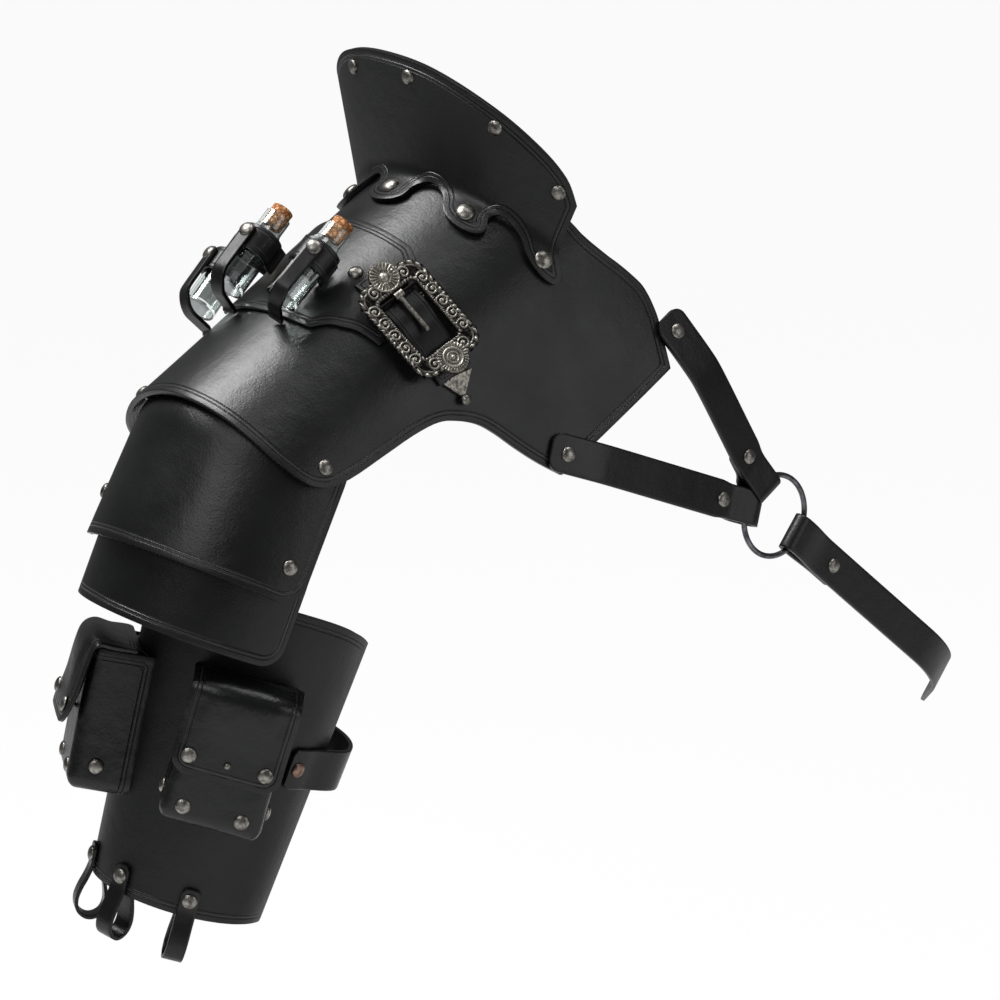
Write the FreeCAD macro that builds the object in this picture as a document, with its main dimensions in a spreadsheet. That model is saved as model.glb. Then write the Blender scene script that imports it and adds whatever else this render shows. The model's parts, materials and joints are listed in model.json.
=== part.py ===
import FreeCAD, Part
import math
import os
from FreeCAD import Placement, Rotation, Vector

# Leather shoulder armour for the wearer's right side: a plate over the shoulder, a flared
# neck guard, two lames and an arm guard below, vials and a buckle on the plate, and a
# chest harness. Millimetres; +X is the wearer's left, +Y the wearer's back, +Z up.
# The origin is the point of the plate's inner face that rests on top of the shoulder.

doc = FreeCAD.newDocument("shoulder_armour")
sheet = doc.addObject("Spreadsheet::Sheet", "sizes")

DRIVING_SIZES = {
    # Leather and fasteners
    "leather": 3.0,
    "strap_leather": 2.2,
    "thin_leather": 1.8,
    "sheet_gap": 0.3,
    "rivet_radius": 4.0,
    "rivet_dome": 2.0,
    "tab_rivet_radius": 4.9,
    "tab_rivet_dome": 2.4,
    "shank_radius": 1.4,
    "shank_clearance": 0.25,
    "pivot_clearance": 0.8,
    "washer_radius": 3.2,
    "washer_height": 1.0,
    "washer_gap": 0.25,
    "pivot_washer_gap": 1.6,
    "cap_seat": 0.1,
    "cut_overrun": 4.0,
    # Shoulder plate: stations along the ridge from the neck to the arm
    "ridge_angle": 31.84,
    "neck_station": 110.0,
    "inner_station": 60.0,
    "seat_station": 0.0,
    "arm_station": -60.7,
    "neck_radius": 82.0,
    "inner_radius": 80.0,
    "seat_radius": 76.0,
    "arm_radius": 78.0,
    "neck_flank": 74.0,
    "inner_flank": 74.0,
    "seat_flank": 76.0,
    "arm_flank": 72.0,
    "neck_lean": 40.0,
    "inner_lean": 36.0,
    "seat_lean": 33.0,
    "arm_lean": 34.0,
    "plate_reach": 180.0,
    "plate_end_bow": 0.0,
    # Neck guard
    "guard_reach": 93.0,
    "guard_fold_back": 31.5,
    "guard_fold_sweep": 8.5,
    "guard_tab_pitch": 41.0,
    "guard_tab_radius": 11.0,
    "guard_rivet_back": 12.0,
    "guard_notch_back": 2.5,
    "guard_fan": 50.0,
    "guard_flare": 10.0,
    "guard_height": 66.0,
    "guard_fold_radius": 6.0,
    "guard_end_lean": 22.0,
    "guard_rim_rivet_back": 9.0,
    "neck_axis_x": 188.0,
    # Vial strip across the plate
    "strip_front_reach": 66.0,
    "strip_rear_reach": 80.0,
    # Vials
    "vial_radius": 8.8,
    "vial_body": 34.0,
    "vial_shoulder": 4.0,
    "vial_neck_radius": 6.9,
    "vial_neck": 9.0,
    "vial_wall": 1.0,
    "vial_base": 2.0,
    "vial_tilt": 11.0,
    "vial_lift": 1.2,
    "vial_spacing": 38.0,
    "vial_middle": -18.0,
    "vial_foot_station": -5.0,
    "cork_clearance": 0.15,
    "cork_depth": 7.0,
    "cork_proud": 4.5,
    "cork_flare": 0.5,
    "band_width": 14.0,
    "band_from_foot": 20.0,
    "band_clearance": 0.3,
    "band_foot": 8.0,
    "trim_reach": 110.0,
    "trim_depth": 14.0,
    "cradle_width": 8.0,
    "cradle_turn": 24.0,
    # Buckle
    "buckle_length": 57.0,
    "buckle_width": 41.0,
    "window_length": 36.0,
    "window_width": 23.5,
    "buckle_plate": 3.2,
    "buckle_corner": 9.0,
    "rosette_radius": 8.2,
    "rosette_height": 4.8,
    "rosette_offset": 27.0,
    "medallion_radius": 8.5,
    "medallion_offset": 25.8,
    "buckle_lift": 6.6,
    "buckle_x": 45.5,
    "buckle_y": -59.4,
    "buckle_z": -4.7,
    "buckle_along_x": 0.332,
    "buckle_along_y": -0.614,
    "buckle_along_z": -0.7165,
    "buckle_out_x": -0.347,
    "buckle_out_y": -0.785,
    "buckle_out_z": 0.512,
    "buckle_across": 75.0,
    "post_radius": 1.8,
    "post_gap": 1.6,
    "post_depth": 16.0,
    "tongue_radius": 1.4,
    "tongue_length": 22.0,
    "tongue_eye_radius": 2.1,
    "tongue_eye_width": 5.0,
    "tongue_pin_radius": 1.0,
    "tongue_pin_clearance": 0.2,
    "buckle_strap_width": 21.0,
    "buckle_strap_arch": 0.3,
    "buckle_strap_start": 33.0,
    "buckle_strap_end": 31.0,
    "tip_gap": 0.3,
    "tip_length": 12.0,
    "tip_ball_radius": 2.8,
    # Harness
    "harness_width": 20.0,
    "harness_fold": 26.0,
    "ring_radius": 21.5,
    "ring_wire": 1.5,
    "ring_x": 248.0,
    "ring_y": -106.0,
    "ring_z": -122.0,
    "harness_slack": 2.95,
    "harness_clearance": 1.62,
    "chest_slack": 1.85,
    "chest_clearance": 1.2,
    "strap_seat": 0.5,
    "strap_end": 10.0,
    "fold_rivet_back": 18.0,
    "upper_harness_share": 0.0008,
    "upper_harness_across": 167.7,
    "upper_harness_rest": 26.0,
    "lower_harness_share": 0.4355,
    "lower_harness_across": 173.5,
    "lower_harness_rest": 22.0,
    "chest_fold": 40.0,
    "chest_rivet_back": 31.0,
    "chest_strap_straight": 118.0,
    "chest_strap_bend": 54.0,
    "chest_strap_turn": 48.0,
    "chest_strap_tail": 36.0,
    "chest_strap_drop": 38.2,
    "billet_hole": 2.5,
    "billet_pitch": 12.0,
    # Upper lame
    "upper_x": 0.2,
    "upper_y": 0.0,
    "upper_z": -73.9,
    "upper_slope": 27.1,
    "upper_turn": 3.3,
    "upper_radius": 69.5,
    "upper_roll": 0.0136,
    "upper_taper": 0.030,
    "upper_top": -13.0,
    "upper_bottom": 70.5,
    "upper_middle": 17.6,
    "upper_half": 67.7,
    "lame_corner": 13.0,
    "lame_roll_length": 20.0,
    "lame_pivot_front_down": 52.9,
    "lame_pivot_front_angle": 74.9,
    "lame_pivot_rear_down": 47.5,
    "lame_pivot_rear_angle": -39.7,
    # Lower lame
    "lower_x": -27.6,
    "lower_y": 0.0,
    "lower_z": -116.5,
    "lower_slope": 21.8,
    "lower_turn": 16.9,
    "lower_radius": 63.0,
    "lower_roll": 0.0093,
    "lower_top": -14.0,
    "lower_bottom": 46.8,
    "lower_middle": 22.0,
    "lower_half": 71.0,
    # Arm guard
    "arm_x": -11.5,
    "arm_y": 3.7,
    "arm_z": -172.8,
    "arm_slope": 16.9,
    "arm_turn": 32.8,
    "arm_guard_radius": 56.5,
    "arm_taper": -0.081,
    "arm_top": -36.0,
    "arm_top_drop": 13.0,
    "arm_bottom": 132.0,
    "arm_middle": 10.0,
    "arm_half": 111.5,
    # Hanger straps inside the lower lame
    "hanger_width": 16.0,
    "hanger_pivot_top": -24.0,
    "hanger_front_angle": 52.0,
    "hanger_rear_angle": -52.0,
    # Arm strap
    "arm_strap_width": 22.0,
    "arm_strap_down": 45.0,
    "arm_strap_bulge": 8.0,
    "arm_strap_front": 94.5,
    "arm_strap_rear": 285.5,
    # Belt loops
    "belt_loop_width": 10.0,
    "belt_loop_rivet_up": 9.0,
    "belt_loop_drop": 26.0,
    "belt_loop_belly": 8.0,
    "belt_loop_inner_gap": 1.0,
    "loop_angle_front": 56.4,
    "loop_angle_middle": 9.7,
    "loop_angle_rear": -29.7,
    # Pouches
    "pouch_width": 53.0,
    "pouch_height": 74.0,
    "pouch_depth": 25.0,
    "pouch_corner": 8.0,
    "pouch_front_corner": 4.0,
    "pouch_front_top": 4.0,
    "pouch_rear_top": 12.0,
    "pouch_front_angle": 52.0,
    "pouch_rear_angle": -32.0,
    "flap_width": 56.0,
    "flap_drop": 47.0,
    "flap_bend": 1.2,
    "flap_gap": 0.6,
    "flap_corner": 10.0,
    "flap_open": 9.0,
    "flap_rivet_down": 37.0,
    "flap_rivet_side": 19.5,
    "stud_down": 37.0,
    "stud_slot": 3.5,
    "stud_clearance": 0.3,
    "stud_radius": 2.8,
    "stud_neck_radius": 1.2,
    "stud_ball": 1.9,
    "stud_height": 4.8,
    "wall_rivet_down": 64.0,
    "wall_rivet_side": 15.0,
    "side_rivet_down": 60.0,
    "side_rivet_out": 12.0,
    "back_rivet_down": 12.0,
    "back_rivet_angle": 14.0,
}

for row, (name, number) in enumerate(DRIVING_SIZES.items(), start=1):
    sheet.set("A%d" % row, name)
    sheet.set("B%d" % row, str(number))
    sheet.setAlias("B%d" % row, name)
doc.recompute()


class Sizes:
    """Reads a driving size from the sheet by its alias."""

    def __getattr__(self, name):
        return float(sheet.get(name))

    def __getitem__(self, name):
        return float(sheet.get(name))


size = Sizes()
subparts = []
surface_step = size.sheet_gap / 30


def unit(vector):
    """The same direction with a length of one."""
    copy = Vector(vector)
    return copy.normalize()


def keep(item, label):
    """Names a finished sub-part."""
    item.Label = label
    subparts.append(item)
    return item


def feature(label, shape):
    """A sub-part whose shape is worked out by this script."""
    item = doc.addObject("Part::Feature", label)
    item.Shape = shape
    return keep(item, label)


def placed(shape, place):
    """A copy of a shape at a place."""
    copy = shape.copy()
    copy.Placement = place
    return copy


def bound(kind, name, **expressions):
    """A primitive whose properties follow the sheet."""
    item = doc.addObject(kind, name)
    for prop, expression in expressions.items():
        item.setExpression(prop, expression)
    return item


def frame(origin, x_axis, z_axis):
    """A placement with the given X direction and, nearest to it, the given Z direction."""
    third = unit(z_axis)
    first = unit(x_axis - third * x_axis.dot(third))
    second = third.cross(first)
    return Placement(Vector(origin), Rotation(first, second, third, "ZXY"))


def smooth_step(start, end, number):
    """Rises from 0 to 1 between two numbers."""
    share = min(1.0, max(0.0, (number - start) / (end - start)))
    return share * share * (3.0 - 2.0 * share)


def spaced(low, high, count):
    """Evenly spaced numbers, both ends included."""
    return [low + (high - low) * step / (count - 1) for step in range(count)]


def end_crowded(low, high, count):
    """Numbers that crowd together towards both ends."""
    middle, half = (low + high) / 2, (high - low) / 2
    return [middle - half * math.cos(math.pi * step / (count - 1)) for step in range(count)]


def even_points(points, count):
    """Points at even distances along a broken line."""
    lengths = [0.0]
    for first, second in zip(points, points[1:]):
        lengths.append(lengths[-1] + (second - first).Length)
    even = []
    for target in spaced(0.0, lengths[-1], count):
        index = max(place for place in range(len(points) - 1) if lengths[place] <= target)
        share = (target - lengths[index]) / (lengths[index + 1] - lengths[index])
        even.append(points[index] + (points[index + 1] - points[index]) * min(1.0, share))
    return even


def between(table, number):
    """Straight-line reading of a table of pairs."""
    if number <= table[0][0]:
        return table[0][1]
    for (low, first), (high, second) in zip(table, table[1:]):
        if number <= high:
            return first + (second - first) * (number - low) / (high - low)
    return table[-1][1]


# Sheets bent from flat leather


def sheet_solid(outer_rows, inner_rows):
    """A solid between two faces, each given as rows of points."""
    skins = []
    for rows in (outer_rows, inner_rows):
        skin = Part.BSplineSurface()
        skin.interpolate(rows)
        skins.append(skin)
    faces = [skin.toShape() for skin in skins]
    outer, inner = skins
    first_u, last_u, first_v, last_v = outer.bounds()
    inner_first_u, inner_last_u, inner_first_v, inner_last_v = inner.bounds()
    sides = [
        (outer.uIso(first_u), inner.uIso(inner_first_u)),
        (outer.uIso(last_u), inner.uIso(inner_last_u)),
        (outer.vIso(first_v), inner.vIso(inner_first_v)),
        (outer.vIso(last_v), inner.vIso(inner_last_v)),
    ]
    for outer_edge, inner_edge in sides:
        faces.append(Part.makeRuledSurface(outer_edge.toShape(), inner_edge.toShape()))
    sewn = Part.makeCompound(faces)
    sewn.sewShape()
    solid = Part.makeSolid(sewn.Shells[0])
    solid.fix(size.sheet_gap / 100, size.sheet_gap / 100, size.sheet_gap)
    if solid.Volume < 0:
        solid.reverse()
    return solid


def bent_sheet(surface, lines, thickness, lift=0.0):
    """A solid sheet on a surface. lines is a list of rows of (first, second) places on it."""
    outer, inner = [], []
    for line in lines:
        outer.append([surface(first, second, lift + thickness) for first, second in line])
        inner.append([surface(first, second, lift) for first, second in line])
    return sheet_solid(outer, inner)


def strip(points, across, width, thickness):
    """A strap along a smooth route in one plane; the route is its inner face.
    The leather lies on the side that across x direction of travel points to."""
    route = Part.BSplineCurve()
    route.interpolate(points)
    first, last = route.FirstParameter, route.LastParameter
    outer_points = []
    steps = 8 * len(points)
    for share in spaced(first, last, steps):
        direction = unit(Vector(*route.tangent(share)[0]))
        outer_points.append(route.value(share) + unit(across).cross(direction) * thickness)
    inner_points = [route.value(share) for share in spaced(first, last, steps)]
    inner, outer = Part.BSplineCurve(), Part.BSplineCurve()
    inner.interpolate(inner_points)
    outer.interpolate(outer_points)
    edges = [inner.toShape(), Part.makeLine(inner_points[-1], outer_points[-1]),
             outer.toShape(), Part.makeLine(outer_points[0], inner_points[0])]
    outline = Part.Wire(Part.__sortEdges__(edges))
    face = Part.Face(outline)
    face.translate(unit(across) * (-width / 2))
    return face.extrude(unit(across) * width)


def folded_strip(points, width, thickness):
    """A strap folded along a route in the XY plane, centred on it in Z; the route is its
    inner face, and the leather lies to the left of it."""
    outer = []
    for index, point in enumerate(points):
        before = point - points[index - 1] if index else points[1] - points[0]
        after = points[index + 1] - point if index + 1 < len(points) else before
        left = unit(Vector(-before.y, before.x, 0)) + unit(Vector(-after.y, after.x, 0))
        outer.append(point + left * (2 * thickness / left.Length ** 2))
    outline = points + outer[::-1]
    face = Part.Face(Part.makePolygon(outline + outline[:1]))
    face.translate(Vector(0, 0, -width / 2))
    return face.extrude(Vector(0, 0, width))


def drill(solid, places, radius, depth):
    """Round holes through a sheet, along each place's Z."""
    for place in places:
        tool = Part.makeCylinder(radius, 2 * depth)
        tool.Placement = place.multiply(Placement(Vector(0, 0, -depth), Rotation()))
        solid = solid.cut(tool)
    return solid


# Fasteners


def rivet_master(name, radius, dome, grip, gap="washer_gap"):
    """A domed cap, a shank and, where there is a gap for one, a flat back washer.
    Z = 0 is the leather's outer face."""
    cap = bound("Part::Ellipsoid", name + "_cap", Radius1="sizes." + dome, Radius2="sizes." + radius)
    cap.Angle1 = 0
    cap.Angle2 = 90
    cap.setExpression("Placement.Base.z", "sizes.cap_seat")
    below = "(%s)" % grip + (" + sizes.%s" % gap if gap else "")
    shank = bound("Part::Cylinder", name + "_shank", Radius="sizes.shank_radius",
                  Height="%s + sizes.%s / 2" % (below, dome))
    shank.setExpression("Placement.Base.z", "-(%s)" % below)
    whole = doc.addObject("Part::MultiFuse", name)
    whole.Shapes = [cap, shank]
    if gap:
        washer = bound("Part::Cylinder", name + "_washer", Radius="sizes.washer_radius",
                       Height="sizes.washer_height")
        washer.setExpression("Placement.Base.z", "-(%s) - sizes.washer_height" % below)
        whole.Shapes = [cap, shank, washer]
    doc.recompute()
    return whole


def rivets(label, master, places):
    """One node of identical rivets, each a solid of its own."""
    return feature(label, Part.makeCompound([placed(master.Shape, place) for place in places]))


# The shoulder plate's surface


def station_value(share, names):
    """A smooth curve through the four stations' values."""
    total = 0.0
    for index, name in enumerate(names):
        weight = 1.0
        for other in range(len(names)):
            if other != index:
                weight *= (share * 3 - other) / (index - other)
        total += weight * getattr(size, name)
    return total


def plate_face(share, across):
    """A point of the plate's outer face, by share from neck to arm and by the distance
    over the leather from the ridge, positive to the front."""
    x = station_value(share, ("neck_station", "inner_station", "seat_station", "arm_station"))
    radius = station_value(share, ("neck_radius", "inner_radius", "seat_radius", "arm_radius"))
    flank = math.radians(station_value(share, ("neck_flank", "inner_flank", "seat_flank", "arm_flank")))
    lean = math.radians(station_value(share, ("neck_lean", "inner_lean", "seat_lean", "arm_lean")))
    ridge = math.radians(size.ridge_angle)
    crown = Vector(x, 0, x * math.tan(ridge) + size.leather / math.cos(ridge))
    down = Vector(math.sin(lean), 0, -math.cos(lean))
    side = 1.0 if across >= 0 else -1.0
    along = abs(across)
    arc = min(along, radius * flank)
    rest = along - arc
    angle = arc / radius
    out = radius * math.sin(angle) + rest * math.cos(flank)
    drop = radius * (1 - math.cos(angle)) + rest * math.sin(flank)
    return crown + Vector(0, -side * out, 0) + down * drop


def plate_normal(share, across):
    """The plate's outward direction."""
    step = surface_step
    along = plate_face(share + step, across) - plate_face(share - step, across)
    over = plate_face(share, across + step) - plate_face(share, across - step)
    return unit(along.cross(over))


def on_plate(share, across, height):
    """A point above the plate's outer face."""
    return plate_face(share, across) + plate_normal(share, across) * height


def plate_sheet(share, across, height):
    """The plate's own thickness, measured inwards from its outer face."""
    return on_plate(share, across, height - size.leather)


def plate_place(share, across, height):
    """A place on the plate with Z outwards and X towards the arm."""
    step = surface_step
    along = plate_face(share + step, across) - plate_face(share - step, across)
    return frame(on_plate(share, across, height), along, plate_normal(share, across))


# Edges of the plate by distance from the ridge, as shares of the reach: the neck edge
# and the arm edge, each as a share of the way from neck to arm
plate_edge_shares = [
    (0.000, 0.000, 1.000),
    (0.200, 0.000, 1.004),
    (0.390, 0.000, 1.010),
    (0.470, 0.000, 1.001),
    (0.500, 0.002, 0.994),
    (0.527, 0.005, 0.981),
    (0.560, 0.003, 0.946),
    (0.582, 0.000, 0.885),
    (0.598, -0.003, 0.790),
    (0.614, -0.006, 0.699),
    (0.635, -0.010, 0.634),
    (0.668, -0.018, 0.594),
    (0.717, -0.026, 0.558),
    (0.770, -0.028, 0.538),
    (0.848, 0.000, 0.519),
    (0.924, 0.045, 0.498),
    (1.000, 0.090, 0.472),
]


def plate_rows():
    """Rows across the plate, from the rear lobe's end over the ridge to the front lobe's end."""
    neck_table = [(reach, neck) for reach, neck, arm in plate_edge_shares]
    arm_table = [(reach, arm) for reach, neck, arm in plate_edge_shares]
    reaches = sorted({reach for reach, neck, arm in plate_edge_shares} | {0.1, 0.3, 0.55})
    signed = [-reach for reach in reversed(reaches)] + [reach for reach in reaches if reach > 0]
    rows = []
    for reach in signed:
        neck, arm = between(neck_table, abs(reach)), between(arm_table, abs(reach))
        bow = size.plate_end_bow * reach * abs(reach) ** 5
        row = []
        for share in spaced(0.0, 1.0, 13):
            across = reach * size.plate_reach + 4 * bow * share * (1 - share)
            row.append((neck + (arm - neck) * share, across))
        rows.append(row)
    return rows


plate_pivot_shares = [(0.925, 0.509), (0.965, -0.27)]
cap_pivots = [plate_place(share, size.plate_reach * reach, 0.0) for share, reach in plate_pivot_shares]
plate_solid = bent_sheet(plate_sheet, plate_rows(), size.leather)


# The neck guard's surface: a flange on the plate, a rounded fold and a flared wall


def guard_station(across):
    """Where the fold crosses the plate, as a share from neck to arm."""
    length = (size.neck_station - size.arm_station) / math.cos(math.radians(size.ridge_angle))
    reach = across / size.guard_reach
    return (size.guard_fold_back - size.guard_fold_sweep * reach * reach) / length


def guard_flange(across, back, height):
    """A point of the flange, back from the fold towards the arm."""
    length = (size.neck_station - size.arm_station) / math.cos(math.radians(size.ridge_angle))
    fan = math.radians(size.guard_fan * math.sin(across / size.guard_reach * math.pi / 2))
    share = guard_station(across) + back * math.cos(fan) / length
    return on_plate(share, across + back * math.sin(fan), height)


guard_height_shares = [
    (-1.00, 0.45), (-0.93, 0.74), (-0.80, 0.90), (-0.60, 0.97), (-0.40, 1.00), (0.00, 0.95),
    (0.30, 0.90), (0.60, 0.78), (0.80, 0.64), (0.93, 0.50), (1.00, 0.36),
]


def guard_wall(across, up, height):
    """A point of the wall above the fold; height is measured on the side away from the neck."""
    foot = guard_flange(across, 0.0, size.sheet_gap + size.leather)
    outward = unit(Vector(foot.x - size.neck_axis_x, foot.y, 0))
    flare = math.radians(size.guard_flare)
    reach = across / size.guard_reach
    lean = math.radians(size.guard_end_lean) * reach ** 3
    sideways = Vector(0, 0, 1).cross(outward)
    rise = Vector(0, 0, math.cos(flare)) + outward * math.sin(flare) + sideways * math.tan(lean)
    face = unit(outward * math.cos(flare) - Vector(0, 0, math.sin(flare)))
    return foot + rise * up + face * (height - size.leather)


def guard_line(across, tip, top, height):
    """One line of one face of the guard, from a flange tip over the fold to the top."""
    radius = size.guard_fold_radius
    lift = size.sheet_gap + height
    start = guard_flange(across, radius, lift)
    corner = guard_flange(across, height - size.leather, lift)
    end = guard_wall(across, radius, height)
    points = [guard_flange(across, tip + (radius - tip) * share, lift) for share in spaced(0.0, 1.0, 5)]
    for share in spaced(0.0, 1.0, 9)[1:-1]:
        rest = 1.0 - share
        points.append(start * (rest * rest) + corner * (2 * share * rest) + end * (share * share))
    points += [guard_wall(across, radius + (top - radius) * share, height) for share in spaced(0.0, 1.0, 9)]
    return even_points(points, 22)


def guard_notch(index):
    """A round-bottomed notch between two tabs, cut square to the flange."""
    across = index * size.guard_tab_pitch
    depth = size.leather + size.cut_overrun
    radius = size.guard_tab_pitch / 2 - size.guard_tab_radius
    back = size.guard_notch_back + radius
    centre = guard_flange(across, back, size.sheet_gap + size.leather / 2)
    over = guard_flange(across, back, size.sheet_gap + size.leather)
    ahead = guard_flange(across, back + size.leather, size.sheet_gap + size.leather / 2)
    hole = Part.makeCylinder(radius, 2 * depth, Vector(0, 0, -depth))
    slot = Part.makeBox(2 * size.guard_tab_radius + size.cut_overrun, 2 * radius, 2 * depth,
                        Vector(0, -radius, -depth))
    tool = hole.fuse(slot)
    tool.Placement = frame(centre, ahead - centre, over - centre)
    return tool


outer_rows, inner_rows = [], []
guard_tip = size.guard_rivet_back + size.guard_tab_radius
for place in spaced(-size.guard_reach, size.guard_reach, 33):
    top = size.guard_height * between(guard_height_shares, place / size.guard_reach)
    outer_rows.append(guard_line(place, guard_tip, top, size.leather))
    inner_rows.append(guard_line(place, guard_tip, top, 0.0))
guard_solid = sheet_solid(outer_rows, inner_rows)
for index in (-1.5, -0.5, 0.5, 1.5):
    guard_solid = guard_solid.cut(guard_notch(index))


def guard_tab_place(index):
    """The rivet of one tab, on top of the flange."""
    across = index * size.guard_tab_pitch
    centre = guard_flange(across, size.guard_rivet_back, size.sheet_gap + size.leather)
    under = guard_flange(across, size.guard_rivet_back, 0.0)
    ahead = guard_flange(across, size.guard_rivet_back + size.shank_radius, size.sheet_gap + size.leather)
    return frame(centre, ahead - centre, centre - under)


def guard_rim_place(reach):
    """A rivet near the guard's upper rim."""
    across = reach * size.guard_reach
    up = size.guard_height * between(guard_height_shares, reach) - size.guard_rim_rivet_back
    centre, under = guard_wall(across, up, size.leather), guard_wall(across, up, 0.0)
    above = guard_wall(across, up + size.shank_radius, size.leather)
    aside = guard_wall(across + size.shank_radius, up, size.leather)
    face = unit((above - centre).cross(aside - centre))
    return frame(centre, above - centre, face * (centre - under).dot(face))


rivet_depth = 2 * size.leather + size.cut_overrun
guard_rim_shares = (-0.90, -0.33, 0.13, 0.60, 0.91)
tab_places = [guard_tab_place(index) for index in range(-2, 3)]
rim_places = [guard_rim_place(reach) for reach in guard_rim_shares]
hole_radius = size.shank_radius + size.shank_clearance
guard_solid = drill(guard_solid, tab_places + rim_places, hole_radius, size.leather + size.cut_overrun)
plate_solid = drill(plate_solid, tab_places, hole_radius, 2 * size.leather + size.cut_overrun)
feature("neck_guard", guard_solid)
tab_rivet = rivet_master("tab_rivet", "tab_rivet_radius", "tab_rivet_dome",
                         "2 * sizes.leather + sizes.sheet_gap")
rim_rivet = rivet_master("rim_rivet", "rivet_radius", "rivet_dome", "sizes.leather")
rivets("neck_tab_rivets", tab_rivet, tab_places)
rivets("neck_rim_rivets", rim_rivet, rim_places)


# The vial strip, a base with a stepped border

strip_neck_shares = [(0.0, 0.352), (0.60, 0.366), (0.66, 0.378), (0.76, 0.398), (1.0, 0.402)]
strip_arm_shares = [(0.0, 0.700), (0.50, 0.690), (0.60, 0.658), (0.70, 0.642), (0.80, 0.628), (1.0, 0.620)]


def strip_across(reach):
    """The strip reaches further to the rear than to the front."""
    return reach * (size.strip_front_reach if reach > 0 else size.strip_rear_reach)


def strip_rows():
    """Rows across the strip from its rear end to its front end."""
    rows = []
    for reach in spaced(-1.0, 1.0, 31):
        neck, arm = between(strip_neck_shares, abs(reach)), between(strip_arm_shares, abs(reach))
        rows.append([(neck + (arm - neck) * share, strip_across(reach)) for share in spaced(0.0, 1.0, 8)])
    return rows


strip_rivet_reaches = (0.44, -0.62)
strip_rivet_station = 0.505
strip_places = [plate_place(strip_rivet_station, strip_across(reach), size.sheet_gap + size.thin_leather)
                for reach in strip_rivet_reaches]
strip_solid = bent_sheet(on_plate, strip_rows(), size.thin_leather, size.sheet_gap)
strip_solid = drill(strip_solid, strip_places, hole_radius, size.cut_overrun)
plate_solid = drill(plate_solid, strip_places, hole_radius, size.leather + size.cut_overrun)
strip_rivet = rivet_master("strip_rivet", "rivet_radius", "rivet_dome",
                           "sizes.leather + sizes.sheet_gap + sizes.thin_leather")


# Vials, their corks, bands and cradles


def plate_share(x):
    """The share from neck to arm at which the ridge has the given x."""
    low, high = 0.0, 1.0
    while high - low > surface_step / 100:
        middle = (low + high) / 2
        if plate_face(middle, 0.0).x > x:
            low = middle
        else:
            high = middle
    return low


def vial_place(index):
    """A vial's frame: Z runs from the foot to the cork, X points away from the plate."""
    across = size.vial_middle + index * size.vial_spacing
    share = plate_share(size.vial_foot_station)
    outward = plate_normal(share, across)
    ridge = math.radians(size.ridge_angle)
    along = Vector(math.cos(ridge), 0, math.sin(ridge))
    along = unit(along - outward * along.dot(outward))
    tilt = math.radians(size.vial_tilt)
    axis = along * math.cos(tilt) + outward * math.sin(tilt)
    height = size.sheet_gap + size.thin_leather + size.vial_lift + size.vial_radius + size.thin_leather
    return frame(on_plate(share, across, height), outward, axis)


vial_master = doc.addObject("PartDesign::Body", "vial_body")
vial_sketch = vial_master.newObject("Sketcher::SketchObject", "vial_outline")
upright_plane = [plane for plane in vial_master.Origin.OriginFeatures if plane.Role == "XZ_Plane"][0]
vial_sketch.AttachmentSupport = [(upright_plane, "")]
vial_sketch.MapMode = "FlatFace"
vial_top = size.vial_body + size.vial_shoulder + size.vial_neck
vial_bore = size.vial_neck_radius - size.vial_wall
vial_outline = [
    (0, 0), (size.vial_radius, 0), (size.vial_radius, size.vial_body),
    (size.vial_neck_radius, size.vial_body + size.vial_shoulder),
    (size.vial_neck_radius, vial_top),
    (vial_bore, vial_top),
    (vial_bore, size.vial_body + size.vial_shoulder),
    (size.vial_radius - size.vial_wall, size.vial_body - size.vial_wall / 2),
    (size.vial_radius - size.vial_wall, size.vial_base), (0, size.vial_base),
]
for (start_x, start_z), (end_x, end_z) in zip(vial_outline, vial_outline[1:] + vial_outline[:1]):
    vial_sketch.addGeometry(Part.LineSegment(Vector(start_x, start_z, 0), Vector(end_x, end_z, 0)), False)
doc.recompute()
vial_turn = vial_master.newObject("PartDesign::Revolution", "vial_turning")
vial_turn.Profile = vial_sketch
vial_turn.ReferenceAxis = (vial_sketch, ["V_Axis"])
vial_turn.Angle = 360
vial_master.Tip = vial_turn
doc.recompute()

cork_master = bound("Part::Cone", "cork_body",
                    Radius1="sizes.vial_neck_radius - sizes.vial_wall - sizes.cork_clearance"
                            " - sizes.cork_flare",
                    Radius2="sizes.vial_neck_radius - sizes.vial_wall - sizes.cork_clearance",
                    Height="sizes.cork_depth + sizes.cork_proud")
doc.recompute()

# What the feet of the bands and cradles are trimmed by: the plate and, over it, the strip
trim_shares = spaced(0.1, 0.9, 9)
plate_trim = bent_sheet(on_plate, [[(share, across) for share in trim_shares]
                                   for across in spaced(-size.trim_reach, size.trim_reach, 25)],
                        size.trim_depth, size.sheet_gap - size.trim_depth)
strip_trim = bent_sheet(on_plate, strip_rows(), size.thin_leather + 2 * size.sheet_gap)


def band_shape():
    """A wide leather band round a vial, with a foot down to the strip."""
    inner = size.vial_radius + size.band_clearance
    outer = inner + size.thin_leather
    ring = Part.makeCylinder(outer, size.band_width, Vector(0, 0, size.band_from_foot))
    foot = Part.makeBox(size.trim_depth + outer, size.band_foot, size.band_width,
                        Vector(-size.trim_depth - outer, -size.band_foot / 2, size.band_from_foot))
    bore = Part.makeCylinder(inner, size.band_width, Vector(0, 0, size.band_from_foot))
    return ring.fuse(foot).cut(bore)


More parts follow.
